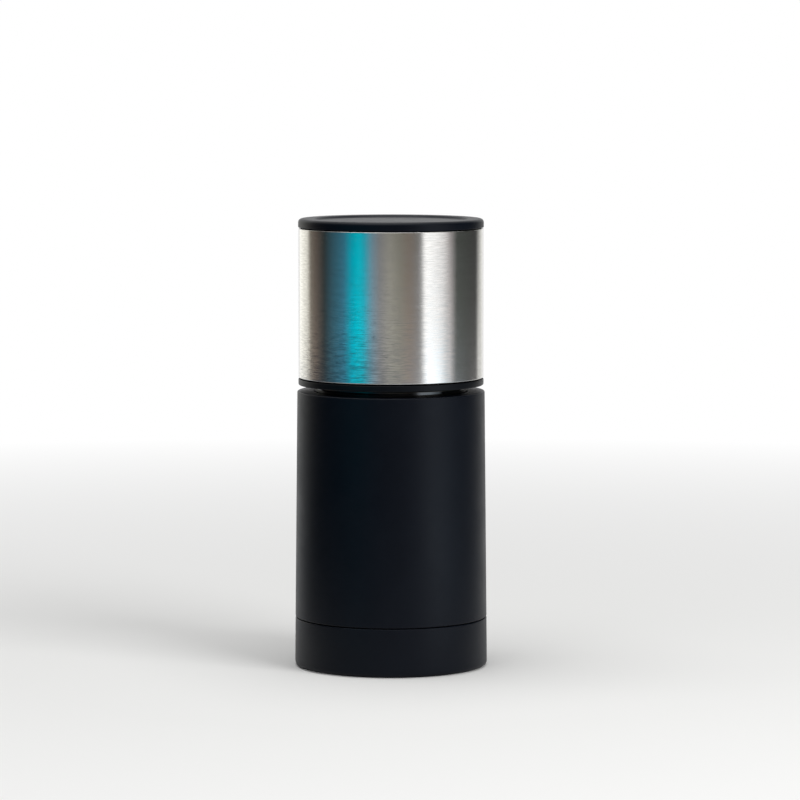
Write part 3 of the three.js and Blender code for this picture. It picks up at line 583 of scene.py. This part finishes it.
def profile(corners, arc):
    # a closed outline of (radius, height, fillet) corners, with its fillets rounded
    bm = bmesh.new()
    points = [bm.verts.new((corner[0], 0, corner[1])) for corner in corners]
    bm.faces.new(points)
    for size in sorted({corner[2] for corner in corners if len(corner) > 2}):
        picked = [point for point, corner in zip(points, corners) if corner[2:] == (size,)]
        rounded(bm, picked, size, arc, "VERTICES")
    return bm


def turned(corners, steps=96, arc=5):
    bm = profile(corners, arc)
    bmesh.ops.delete(bm, geom=bm.faces[:], context="FACES_ONLY")
    for edge in [e for e in bm.edges if max(abs(v.co.x) for v in e.verts) < weld]:
        bm.edges.remove(edge)
    spin(bm, steps)
    return sealed(bm)


def openRing(corners, mouth, steps=64):
    # a ring with a mouth of some degrees on its +X side, closed at both ends
    bm = profile(corners, 4)
    rotate(bm, mouth / 2)
    spin(bm, steps, 360.0 - mouth)
    return sealed(bm)


def flatRing(c):
    # the corners of a flat ring, with an edge size inside and another outside
    inside, outside = (c["inner"], c["innerEdge"]), (c["outer"], c["outerEdge"])
    rows = ((inside, "bottom"), (outside, "bottom"), (outside, "top"), (inside, "top"))
    return [(radius, c[row], edge) for (radius, edge), row in rows]


def grooveCorners(c, radius, edge):
    # the corners of a groove round an outer wall
    low, high, deep = c["grooveLow"], c["grooveHigh"], c["grooveFloor"]
    return [(radius, low, edge), (deep, low), (deep, high), (radius, high, edge)]


def wireStart(radius, height, thickness, sides):
    # the round section that a wire or a seal is carried round with
    bm = bmesh.new()
    bmesh.ops.create_circle(bm, cap_ends=False, segments=sides, radius=thickness / 2)
    rotate(bm, 90, "X")
    shift(bm, (radius, 0, height))
    return bm


def roundRing(radius, section, height, steps):
    bm = wireStart(radius, height, section, 16)
    spin(bm, steps)
    return sealed(bm)


def bar(start, end, width, bottom, top, edge=0.0, arc=2):
    # a block that lies along X
    low, high = Vector((start, -width / 2, bottom)), Vector((end, width / 2, top))
    bm = bmesh.new()
    bmesh.ops.create_cube(bm, size=1.0)
    bmesh.ops.scale(bm, vec=high - low, verts=bm.verts)
    shift(bm, (low + high) / 2)
    if edge:
        rounded(bm, bm.edges[:], edge, arc)
    return bm


def squareBar(side, bottom, top):
    return bar(-side / 2, side / 2, side, bottom, top)


def post(radius, bottom, top, sides=24):
    bm = bmesh.new()
    bmesh.ops.create_cone(bm, cap_ends=True, segments=sides, radius1=radius, radius2=radius,
                          depth=top - bottom)
    shift(bm, (0, 0, (top + bottom) / 2))
    return bm


def moved(bm, distance=0.0, degrees=0.0):
    # a copy carried out along +X, then round the axis
    copy = bm.copy()
    shift(copy, (distance, 0, 0))
    rotate(copy, degrees)
    return copy


def around(bm, count, distance=0.0, start=0.0):
    copies = [moved(bm, distance, start + 360 * i / count) for i in range(count)]
    bm.free()
    return copies


def atScrews(bm, distance=0.0):
    # three copies, one at each screw of a ring
    return around(bm, 3, distance, 30)


def atPins(bm, distance):
    # four copies, one at each gripping pin
    return around(bm, 4, distance, 45)


def joined(parts):
    # one mesh of closed skins, which reach a little into each other where they meet
    whole = bmesh.new()
    for part in parts:
        mesh = newMesh("part", part)
        whole.from_mesh(mesh)
        bpy.data.meshes.remove(mesh)
    return whole


def cutBy(part, tools):
    # takes the shapes of the tools out of the part
    holders = [newObject("cut", newMesh("cut", shape)) for shape in (part, joined(tools))]
    knife = holders[0].modifiers.new("cut", "BOOLEAN")
    knife.object = holders[1]
    knife.operation = "DIFFERENCE"
    knife.solver = "EXACT"
    knife.use_self = True
    result = bmesh.new()
    result.from_object(holders[0], bpy.context.evaluated_depsgraph_get())
    for holder in holders:
        mesh = holder.data
        bpy.data.objects.remove(holder)
        bpy.data.meshes.remove(mesh)
    bmesh.ops.remove_doubles(result, verts=result.verts, dist=weld)
    return result


def finished(name, bm, body, material, slot, *nodes):
    # shades the shape smooth between its creases and hands it over as a piece of its body
    for face in bm.faces:
        face.smooth = True
    for edge in bm.edges:
        if len(edge.link_faces) == 2 and edge.calc_face_angle(0.0) > creaseAngle:
            edge.smooth = False
    bmesh.ops.scale(bm, vec=(mm, mm, mm), verts=bm.verts)
    piece = newObject(name, newMesh(name, bm))
    piece.data.materials.append(material)
    even = piece.modifiers.new("evenShading", "WEIGHTED_NORMAL")
    even.keep_sharp = True
    even.weight = largeFaceWeight
    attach(piece, body)
    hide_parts(*nodes)
    return piece


# Bottom cap, with stiffening ribs and a ring under its floor

cap = {"height": 15.0, "topRadius": 29.548, "footRadius": 29.7, "bore": 27.548, "floorTop": 2.6,
       "footEdge": 1.5, "footWidth": 3.4, "footSlope": 0.8, "recess": 0.8, "edge": 0.3, "ribs": 8,
       "ribStart": 5, "ribWidth": 1.2, "ribBottom": 0.35, "ribTop": 1.2, "ringInner": 3.8,
       "ringOuter": 5.4}


def makeCap(c):
    footInner = c["footRadius"] - c["footEdge"] - c["footWidth"]
    low, high = c["ribBottom"], c["ribTop"]
    cup = turned([
        (0, c["recess"]),
        (footInner - c["footSlope"], c["recess"], 0.3),
        (footInner, 0, 0.2),
        (c["footRadius"], 0, c["footEdge"]),
        (c["topRadius"], c["height"], c["edge"]),
        (c["bore"], c["height"], c["edge"]),
        (c["bore"], c["floorTop"], 1.2),
        (0, c["floorTop"]),
    ], steps=128)
    ring = turned([
        (c["ringInner"], low, 0.2),
        (c["ringOuter"], low, 0.2),
        (c["ringOuter"], high),
        (c["ringInner"], high),
    ], steps=48)
    rib = bar(c["ribStart"], footInner - c["footSlope"] / 2, c["ribWidth"], low, high, 0.15)
    shape = joined([cup, ring] + around(rib, c["ribs"]))
    finished("bottomCap", shape, "cap", softCoat, "soft_black", "bottom_cap")


makeCap(cap)
print("cap made")

# Casing: widens a little from its rim to its foot

shell = {"bottom": 15.3, "rim": 85.0, "bottomRadius": 29.547, "rimRadius": 28.85, "bottomBore": 27.547,
         "topBore": 26.874, "opening": 23.7, "shoulderBottom": 82.6, "rimEdge": 0.4, "edge": 0.3}


def makeCasing(c):
    shape = turned([
        (c["opening"], c["shoulderBottom"], 0.15),
        (c["opening"], c["rim"], c["edge"]),
        (c["rimRadius"], c["rim"], c["rimEdge"]),
        (c["bottomRadius"], c["bottom"], c["edge"]),
        (c["bottomBore"], c["bottom"], 0.2),
        (c["topBore"], c["shoulderBottom"], 0.6),
    ], steps=128)
    finished("casing", shape, "body", softCoat, "soft_black", "body_shell")


makeCasing(shell)

# Base insert: the ring in the casing's foot that the cap plugs on

insert = {"bottom": 8.3, "top": 25.3, "radius": 26.994, "bore": 24.2, "grooveFloor": 25.55,
          "grooveLow": 10.8, "grooveHigh": 12.8, "bossCircle": 21.7, "bossRadius": 2.4, "bossBottom": 13.7,
          "bossTop": 22.6, "holeRadius": 1.45, "holeTop": 21.7, "webStart": 23.5, "webWidth": 3.0,
          "webSink": 0.4}


def makeInsert(c):
    ringBody = turned([
        (c["bore"], c["bottom"], 0.3),
        (c["radius"], c["bottom"], 0.6),
        *grooveCorners(c, c["radius"], 0.15),
        (c["radius"], c["top"], 0.3),
        (c["bore"], c["top"], 0.3),
    ], steps=128)
    boss = turned([
        (c["holeRadius"], c["bossBottom"]),
        (c["bossRadius"], c["bossBottom"], 0.2),
        (c["bossRadius"], c["bossTop"], 0.4),
        (0, c["bossTop"]),
        (0, c["holeTop"]),
        (c["holeRadius"], c["holeTop"]),
    ], steps=32)
    webEnd = c["bore"] + c["webSink"]
    web = bar(c["webStart"], webEnd, c["webWidth"], c["bossBottom"], c["bossTop"], 0.2)
    shape = joined([ringBody] + atScrews(boss, c["bossCircle"]) + atScrews(web))
    finished("baseInsert", shape, "body", mouldedBlack, "plain_black", "base_insert")


makeInsert(insert)
capSeal = {"radius": 26.55, "section": 1.4, "height": 11.8, "steps": 128}
finished("capSeal", roundRing(**capSeal), "body", sealRubber, "seal_rubber", "cap_seal_ring")

# Spice chamber

chamber = {"bore": 17.3, "radius": 19.0, "bottom": 13.7, "top": 94.3, "mouth": 0.9,
           "restRadius": 25.2, "restTop": 80.0, "restThickness": 1.6}


def makeChamber(c):
    restLow = c["restTop"] - c["restThickness"]
    shape = turned([
        (c["bore"], c["bottom"], 0.2),
        (c["radius"], c["bottom"], 0.2),
        (c["radius"], restLow - c["restThickness"], 1.0),
        (c["restRadius"], restLow, 0.2),
        (c["restRadius"], c["restTop"], 0.2),
        (c["radius"], c["restTop"]),
        (c["radius"], c["top"], 0.2),
        (c["bore"], c["top"], c["mouth"]),
    ], steps=96)
    finished("spiceChamber", shape, "body", smokyPlastic, "smoke_plastic", "spice_chamber")


makeChamber(chamber)

# Neck bush: the polished neck in the shadow gap, and the bearing above it

neck = {"bore": 19.3, "flange": 26.2, "flangeBottom": 80.3, "flangeTop": 82.3, "radius": 23.4,
        "ledge": 86.6, "underLedge": 0.4, "bearing": 21.6, "grooveLow": 91.0, "grooveHigh": 92.8,
        "grooveFloor": 20.7, "top": 94.5}


def makeNeck(c):
    shape = turned([
        (c["bore"], c["flangeBottom"], 0.2),
        (c["flange"], c["flangeBottom"], 0.2),
        (c["flange"], c["flangeTop"], 0.2),
        (c["radius"], c["flangeTop"]),
        (c["radius"], c["ledge"] - c["underLedge"]),  # keeps the shading straight under the edge
        (c["radius"], c["ledge"], 0.3),
        (c["bearing"], c["ledge"]),
        *grooveCorners(c, c["bearing"], 0.15),
        (c["bearing"], c["top"], 0.4),
        (c["bore"], c["top"], 0.2),
    ], steps=128)
    finished("neckBush", shape, "body", polishedBlack, "gloss_black", "neck_bush")


makeNeck(neck)
clip = {"inner": 21.0, "outer": 22.6, "bottom": 91.3, "top": 92.5, "innerEdge": 0.12,
        "outerEdge": 0.12, "mouth": 50}
clipRing = openRing(flatRing(clip), clip["mouth"])
finished("collarClip", clipRing, "body", springSteel, "spring_steel", "collar_clip")

# Grater blade: rings of raised teeth over their mouths, which cut in turn one way and the other

teeth = {"radius": 19.0, "bottom": 12.9, "thickness": 0.5, "firstRing": 2.9, "ringPitch": 2.85,
         "rings": 5, "ringTurn": 1.0, "spacing": 4.2, "width": 1.7, "mouth": 1.1, "run": 1.3,
         "overhang": 0.45, "rise": 0.6, "lip": 0.16, "taper": 0.2, "archPower": 2.5, "climbPower": 1.4}


def toothMouth(c):
    # a half round prism with its straight side under the cutting edge
    bm = bmesh.new()
    bmesh.ops.create_circle(bm, cap_ends=True, segments=16, radius=1)
    bmesh.ops.scale(bm, vec=(c["width"] / 2, c["mouth"], 1), verts=bm.verts)
    bmesh.ops.bisect_plane(bm, geom=bm.verts[:] + bm.edges[:] + bm.faces[:], plane_co=(0, 0, 0),
                           plane_no=(0, 1, 0), clear_inner=True)
    lifted = bmesh.ops.extrude_face_region(bm, geom=bm.faces[:])
    rising = [g for g in lifted["geom"] if isinstance(g, bmesh.types.BMVert)]
    bmesh.ops.translate(bm, vec=(0, 0, 2 * c["thickness"]), verts=rising)
    shift(bm, (0, 0, c["bottom"] - c["thickness"] / 2))
    bmesh.ops.recalc_face_normals(bm, faces=bm.faces)
    return bm


def toothHood(c):
    # a thin arched tongue that climbs to the cutting edge over the mouth
    bm = bmesh.new()
    bmesh.ops.create_grid(bm, x_segments=6, y_segments=5, size=1)
    for point in bm.verts:
        across, climb = point.co.x, (point.co.y + 1) / 2
        arch = 1 - abs(across) ** c["archPower"]
        point.co.x = across * c["width"] / 2 * (1 - c["taper"] + c["taper"] * climb)
        point.co.y = -c["run"] + climb * (c["run"] + c["overhang"])
        point.co.z = c["rise"] * climb ** c["climbPower"] * arch
    bmesh.ops.recalc_face_normals(bm, faces=bm.faces)
    bmesh.ops.solidify(bm, geom=bm.faces[:], thickness=c["lip"])
    top = max(point.co.z for point in bm.verts)
    shift(bm, (0, 0, c["bottom"] + c["thickness"] + c["rise"] - top))
    return bm


def makeBlade(c):
    mouth, hood = toothMouth(c), toothHood(c)
    mouths, hoods = [], []
    for row in range(c["rings"]):
        radius = c["firstRing"] + row * c["ringPitch"]
        count = math.floor(2 * math.pi * radius / c["spacing"])
        start = math.degrees(row * c["ringTurn"])
        facing = 0 if row % 2 else 180
        mouths += around(moved(mouth, degrees=facing), count, radius, start)
        hoods += around(moved(hood, degrees=facing), count, radius, start)
    top = c["bottom"] + c["thickness"]
    corners = [(0, c["bottom"]), (c["radius"], c["bottom"], 0.08), (c["radius"], top, 0.08), (0, top)]
    plate = turned(corners, arc=2)
    mouth.free()
    hood.free()
    shape = joined([cutBy(plate, mouths)] + hoods)
    finished("graterBlade", shape, "body", etchedSteel, "blade_steel", "grater_blade")


makeBlade(teeth)

# Blade holder

holder = {"window": 16.9, "radius": 23.9, "bottom": 10.2, "top": 13.4, "recess": 19.3, "ledge": 12.6,
          "screwCircle": 21.7, "hole": 1.45}


def makeHolder(c):
    ringBody = turned([
        (c["window"], c["bottom"], 0.6),
        (c["radius"], c["bottom"], 0.3),
        (c["radius"], c["top"], 0.15),
        (c["recess"], c["top"], 0.15),
        (c["recess"], c["ledge"]),
        (c["window"], c["ledge"], 0.15),
    ], steps=96)
    hole = post(c["hole"], c["bottom"] - past, c["top"] + past)
    shape = cutBy(ringBody, atScrews(hole, c["screwCircle"]))
    finished("bladeHolder", shape, "body", mouldedBlack, "plain_black", "blade_holder")


makeHolder(holder)

# Screws: pan heads with a crossed recess

screws = {
    "blade": {"seat": 9.9, "length": 11, "radius": 1.15, "head": 2.2, "circle": 21.7, "up": True},
    "bush": {"seat": 104.45, "length": 8, "radius": 1.15, "head": 2.2, "circle": 11.117, "up": False},
    "plate": {"seat": 25.6, "length": 9, "radius": 1.5, "head": 3.3, "up": True},
}
screwHead = {"height": 1.3, "slotWidth": 0.56}
# the rest of the head, as shares of its radius or height
headShares = {"top": 0.55, "side": 0.62, "slotReach": 0.62, "slotDepths": (0.5, 0.45)}


def makeScrew(c):
    tall = screwHead["height"]
    body = turned([
        (0, -tall),
        (headShares["top"] * c["head"], -tall, 0.5),
        (c["head"], -headShares["side"] * tall, 0.35),
        (c["head"], 0, 0.1),
        (c["radius"], 0),
        (c["radius"], c["length"] - c["radius"], 0.1),
        (c["radius"] / 3, c["length"]),
        (0, c["length"]),
    ], steps=40, arc=3)
    reach, width = headShares["slotReach"] * c["head"], screwHead["slotWidth"]
    slots = [bar(-reach, reach, width, -tall - past, -depth * tall) for depth in headShares["slotDepths"]]
    rotate(slots[1], 90)
    shape = cutBy(body, slots)
    if not c["up"]:
        rotate(shape, 180, "X")
    shift(shape, (0, 0, c["seat"]))
    return shape


def makeScrews():
    for kind, body in (("blade", "body"), ("bush", "grip")):
        copies = atScrews(makeScrew(screws[kind]), screws[kind]["circle"])
        for i, screw in enumerate(copies, 1):
            finished(f"{kind}Screw{i}", screw, body, springSteel, "spring_steel", f"{kind}_screw_{i}")
    screw = makeScrew(screws["plate"])
    finished("plateScrew", screw, "plunger", springSteel, "spring_steel", "plate_screw")


makeScrews()
print("body made")

# Turning collar: the lip under the steel sleeve, and the keyed spigot that drives the grip

collar = {"bore": 21.9, "bottom": 86.9, "radius": 28.5, "lipTop": 88.8, "spigot": 24.6,
          "grooveFloor": 23.7, "grooveLow": 93.45, "grooveHigh": 94.75, "top": 95.25, "clipBore": 22.9,
          "flangeTop": 91.0, "keys": 6, "keyOuter": 26.2, "keyTop": 92.8, "keyWidth": 4.0, "keySink": 0.7,
          "keyDrop": 0.3, "edge": 0.45}


def makeCollar(c):
    ringBody = turned([
        (c["bore"], c["bottom"], 0.2),
        (c["radius"], c["bottom"], c["edge"]),
        (c["radius"], c["lipTop"], 0.25),
        (c["spigot"], c["lipTop"]),
        *grooveCorners(c, c["spigot"], 0.1),
        (c["spigot"], c["top"], 0.15),
        (c["clipBore"], c["top"], 0.15),
        (c["clipBore"], c["flangeTop"]),
        (c["bore"], c["flangeTop"], 0.15),
    ], steps=128)
    start, low = c["spigot"] - c["keySink"], c["lipTop"] - c["keyDrop"]
    key = bar(start, c["keyOuter"], c["keyWidth"], low, c["keyTop"], 0.3, arc=3)
    shape = joined([ringBody] + around(key, c["keys"]))
    finished("turningCollar", shape, "collar", satinBlack, "soft_black", "turning_collar")


makeCollar(collar)
gripSeal = {"radius": 24.5, "section": 1.0, "height": 94.1, "steps": 96}
finished("gripSeal", roundRing(**gripSeal), "collar", sealRubber, "seal_rubber", "grip_seal_ring")
print("collar made")

# Steel sleeve: a thin tube whose foot is turned in under the core

sleeve = {"radius": 28.5, "bore": 27.7, "bottom": 89.2, "top": 135.0, "hemBore": 26.5, "wall": 0.8,
          "corner": 0.3}


def makeSleeve(c):
    shape = turned([
        (c["hemBore"], c["bottom"], 0.2),
        (c["radius"], c["bottom"], c["corner"]),
        (c["radius"], c["top"], 0.2),
        (c["bore"], c["top"], 0.1),
        (c["bore"], c["bottom"] + c["wall"], 0.1),
        (c["hemBore"], c["bottom"] + c["wall"], 0.2),
    ], steps=160, arc=6)
    finished("steelSleeve", shape, "grip", brushedSteel, "brushed_steel", "grip_sleeve")


makeSleeve(sleeve)

# Grip core: a slotted tube with a ribbed floor

core = {"bore": 25.3, "radius": 27.4, "bottom": 90.3, "top": 135.0, "snap": 132.3, "bead": 0.5,
        "floorBottom": 99.65, "floorTop": 102.05, "barrel": 7.317, "ribs": 6, "ribHeight": 5.0,
        "ribInner": 14.017, "ribWidth": 1.6, "bossCircle": 11.117, "bossRadius": 2.3,
        "bossBottom": 94.75, "hole": 1.45, "holeBottom": 95.65, "slots": 6, "slotTop": 93.1,
        "slotOuter": 26.5, "slotWidth": 4.6, "sink": 0.6}


def makeCore(c):
    tube = turned([
        (c["bore"], c["bottom"], 0.3),
        (c["radius"], c["bottom"], 0.3),
        (c["radius"], c["top"], 0.2),
        (c["bore"], c["top"], 0.2),
        (c["bore"], c["snap"] + 2 * c["bead"], 0.1),
        (c["bore"] + c["bead"], c["snap"] + c["bead"], 0.1),
        (c["bore"] + c["bead"], c["snap"] - c["bead"], 0.1),
        (c["bore"], c["snap"] - 2 * c["bead"], 0.1),
        (c["bore"], c["floorTop"], 0.8),
        (c["barrel"], c["floorTop"], 0.15),
        (c["barrel"], c["floorBottom"], 0.15),
        (c["bore"], c["floorBottom"], 0.8),
    ], steps=96, arc=3)
    slot = bar(c["bore"] - past, c["slotOuter"], c["slotWidth"], c["bottom"] - past, c["slotTop"])
    hole = post(c["hole"], c["floorBottom"] - past, c["floorTop"] + past)
    tube = cutBy(tube, around(slot, c["slots"]) + atScrews(hole, c["bossCircle"]))
    bossTop = c["floorBottom"] + c["sink"]
    boss = turned([
        (c["hole"], bossTop),
        (c["hole"], c["holeBottom"]),
        (0, c["holeBottom"]),
        (0, c["bossBottom"]),
        (c["bossRadius"], c["bossBottom"], 0.4),
        (c["bossRadius"], bossTop),
    ], steps=32, arc=3)
    low, high = c["floorTop"] - c["sink"], c["floorTop"] + c["ribHeight"]
    rib = bar(c["ribInner"], c["bore"] + c["sink"], c["ribWidth"], low, high, 0.3)
    shape = joined([tube] + atScrews(boss, c["bossCircle"]) + around(rib, c["ribs"], start=30))
    finished("gripCore", shape, "grip", mouldedBlack, "plain_black", "grip_core")


makeCore(core)

# Top cap: a shallow dished disc with a snap spigot

lid = {"radius": 28.5, "rimBottom": 135.3, "top": 138.0, "edge": 1.2, "dish": 137.3,
       "dishRadius": 23.6, "plateBottom": 135.6, "spigot": 25.0, "spigotWall": 1.6,
       "spigotBottom": 130.5, "snap": 132.3, "bead": 0.5, "beadFoot": 0.8, "beadFlat": 0.2,
       "dishSlope": 0.7}


def makeLid(c):
    inner = c["spigot"] - c["spigotWall"]
    shape = turned([
        (0, c["plateBottom"]),
        (inner, c["plateBottom"], 0.4),
        (inner, c["spigotBottom"], 0.3),
        (c["spigot"], c["spigotBottom"], 0.3),
        (c["spigot"], c["snap"] - c["beadFoot"], 0.1),
        (c["spigot"] + c["bead"], c["snap"] - c["beadFlat"], 0.1),
        (c["spigot"] + c["bead"], c["snap"] + c["beadFlat"], 0.1),
        (c["spigot"], c["snap"] + c["beadFoot"], 0.1),
        (c["spigot"], c["rimBottom"]),
        (c["radius"], c["rimBottom"], 0.25),
        (c["radius"], c["top"], c["edge"]),
        (c["dishRadius"], c["top"], 0.35),
        (c["dishRadius"] - c["dishSlope"], c["dish"], 0.3),
        (0, c["dish"]),
    ], steps=128, arc=6)
    finished("topCap", shape, "grip", softCoat, "soft_black", "top_cap")


makeLid(lid)

# Guide bush: brass, with a square hole for the plunger's rod

bush = {"nose": 6.017, "bottom": 96.65, "barrel": 7.017, "floorBottom": 99.35, "flange": 13.717,
        "flangeBottom": 102.35, "flangeTop": 104.15, "collar": 6.517, "top": 105.05, "hole": 6.6,
        "screwCircle": 11.117, "screwHole": 1.45}


def makeBush(c):
    body = turned([
        (0, c["bottom"]),
        (c["nose"], c["bottom"], 0.3),
        (c["nose"], c["floorBottom"]),
        (c["barrel"], c["floorBottom"], 0.15),
        (c["barrel"], c["flangeBottom"]),
        (c["flange"], c["flangeBottom"], 0.2),
        (c["flange"], c["flangeTop"], 0.3),
        (c["collar"], c["flangeTop"]),
        (c["collar"], c["top"], 0.2),
        (0, c["top"]),
    ], steps=72, arc=3)
    hole = post(c["screwHole"], c["flangeBottom"] - past, c["flangeTop"] + past)
    square = squareBar(c["hole"], c["bottom"] - past, c["top"] + past)
    shape = cutBy(body, [square] + atScrews(hole, c["screwCircle"]))
    finished("guideBush", shape, "grip", turnedBrass, "brass", "guide_bush")


makeBush(bush)

# Plunger spring: one wire, closer at its ends

spring = {"mean": 7.417, "wire": 1.2, "low": 28.1, "high": 98.75, "turns": 15, "endPitch": 1.75,
          "stepsPerTurn": 32, "travel": 26.0, "sides": 12}


def makeSpring(c):
    bm = wireStart(c["mean"], c["low"], c["wire"], c["sides"])
    last = bm.verts[:] + bm.edges[:]
    middle = c["high"] - c["low"] - 2 * c["endPitch"]
    for turns, rise in ((1, c["endPitch"]), (c["turns"] - 2, middle), (1, c["endPitch"])):
        last = spin(bm, turns * c["stepsPerTurn"], 360 * turns, rise, last)
    bm = sealed(bm)
    coil = finished("plungerSpring", bm, "grip", springSteel, "spring_steel", "plunger_spring")
    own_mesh(coil)


makeSpring(spring)
print("grip made")

# Plunger rod: a square bar with chamfered corners, grooved near its top for the stop clip

rod = {"side": 6.0, "chamfer": 0.5, "topChamfer": 0.4, "bottom": 27.5, "top": 109.05,
       "grooveLow": 106.35, "grooveHigh": 107.75, "grooveRadius": 2.3}


def makeRod(c):
    body = squareBar(c["side"], c["bottom"], c["top"])
    upright = [e for e in body.edges if abs(e.verts[0].co.z - e.verts[1].co.z) > weld]
    rounded(body, upright, c["chamfer"], arc=2)
    rim = [e for e in body.edges if min(v.co.z for v in e.verts) > c["top"] - weld]
    rounded(body, rim, c["topChamfer"], arc=2)
    low, high, inner, outer = c["grooveLow"], c["grooveHigh"], c["grooveRadius"], c["side"]
    groove = turned([(inner, low), (outer, low), (outer, high), (inner, high)], steps=48)
    shape = cutBy(body, [groove])
    finished("plungerRod", shape, "plunger", etchedSteel, "blade_steel", "plunger_rod")


makeRod(rod)

# Pressure plate: a skirted disc with a hub for the rod and sockets for the pins

plate = {"radius": 16.85, "bottom": 24.0, "top": 27.2, "skirtTop": 29.8, "inside": 15.45,
         "hub": 6.017, "hubTop": 33.2, "socket": 6.6, "counterbore": 3.6, "counterTop": 25.9,
         "screwHole": 1.8, "pinCircle": 10.733, "pinHole": 1.3, "pinSocketTop": 26.5}


def makePlate(c):
    body = turned([
        (0, c["bottom"]),
        (c["radius"], c["bottom"], 0.4),
        (c["radius"], c["skirtTop"], 0.3),
        (c["inside"], c["skirtTop"], 0.3),
        (c["inside"], c["top"], 0.5),
        (c["hub"], c["top"], 0.5),
        (c["hub"], c["hubTop"], 0.3),
        (0, c["hubTop"]),
    ], steps=96, arc=3)
    below = c["bottom"] - past
    pinHole = post(c["pinHole"], below, c["pinSocketTop"])
    shape = cutBy(body, [
        squareBar(c["socket"], c["top"], c["hubTop"] + past),
        post(c["counterbore"], below, c["counterTop"], sides=40),
        post(c["screwHole"], c["bottom"], c["top"] + past),
    ] + atPins(pinHole, c["pinCircle"]))
    finished("pressurePlate", shape, "plunger", smokyPlastic, "smoke_plastic", "pressure_plate")


makePlate(plate)

# Gripping pins, and the stop washer and clip on the rod's end

pin = {"radius": 1.0, "tip": 19.0, "point": 2.6, "flat": 0.12, "top": 26.2, "circle": 10.733}


def makePins(c):
    pattern = turned([
        (0, c["tip"]),
        (c["flat"], c["tip"], 0.05),
        (c["radius"], c["tip"] + c["point"], 0.4),
        (c["radius"], c["top"], 0.1),
        (0, c["top"]),
    ], steps=28, arc=3)
    for i, made in enumerate(atPins(pattern, c["circle"]), 1):
        finished(f"grippingPin{i}", made, "plunger", etchedSteel, "blade_steel", f"gripping_pin_{i}")


makePins(pin)
washer = {"inner": 4.205, "outer": 6.2, "bottom": 105.35, "top": 106.35, "innerEdge": 0.15,
          "outerEdge": 0.25}
washerRing = turned(flatRing(washer), steps=64)
finished("stopWasher", washerRing, "plunger", sealRubber, "seal_rubber", "stop_washer")
stop = {"inner": 2.6, "outer": 5.6, "bottom": 106.65, "top": 107.45, "innerEdge": 0.1,
        "outerEdge": 0.15, "mouth": 70}
stopRing = openRing(flatRing(stop), stop["mouth"], steps=48)
finished("stopClip", stopRing, "plunger", springSteel, "spring_steel", "stop_clip")
print("plunger made")
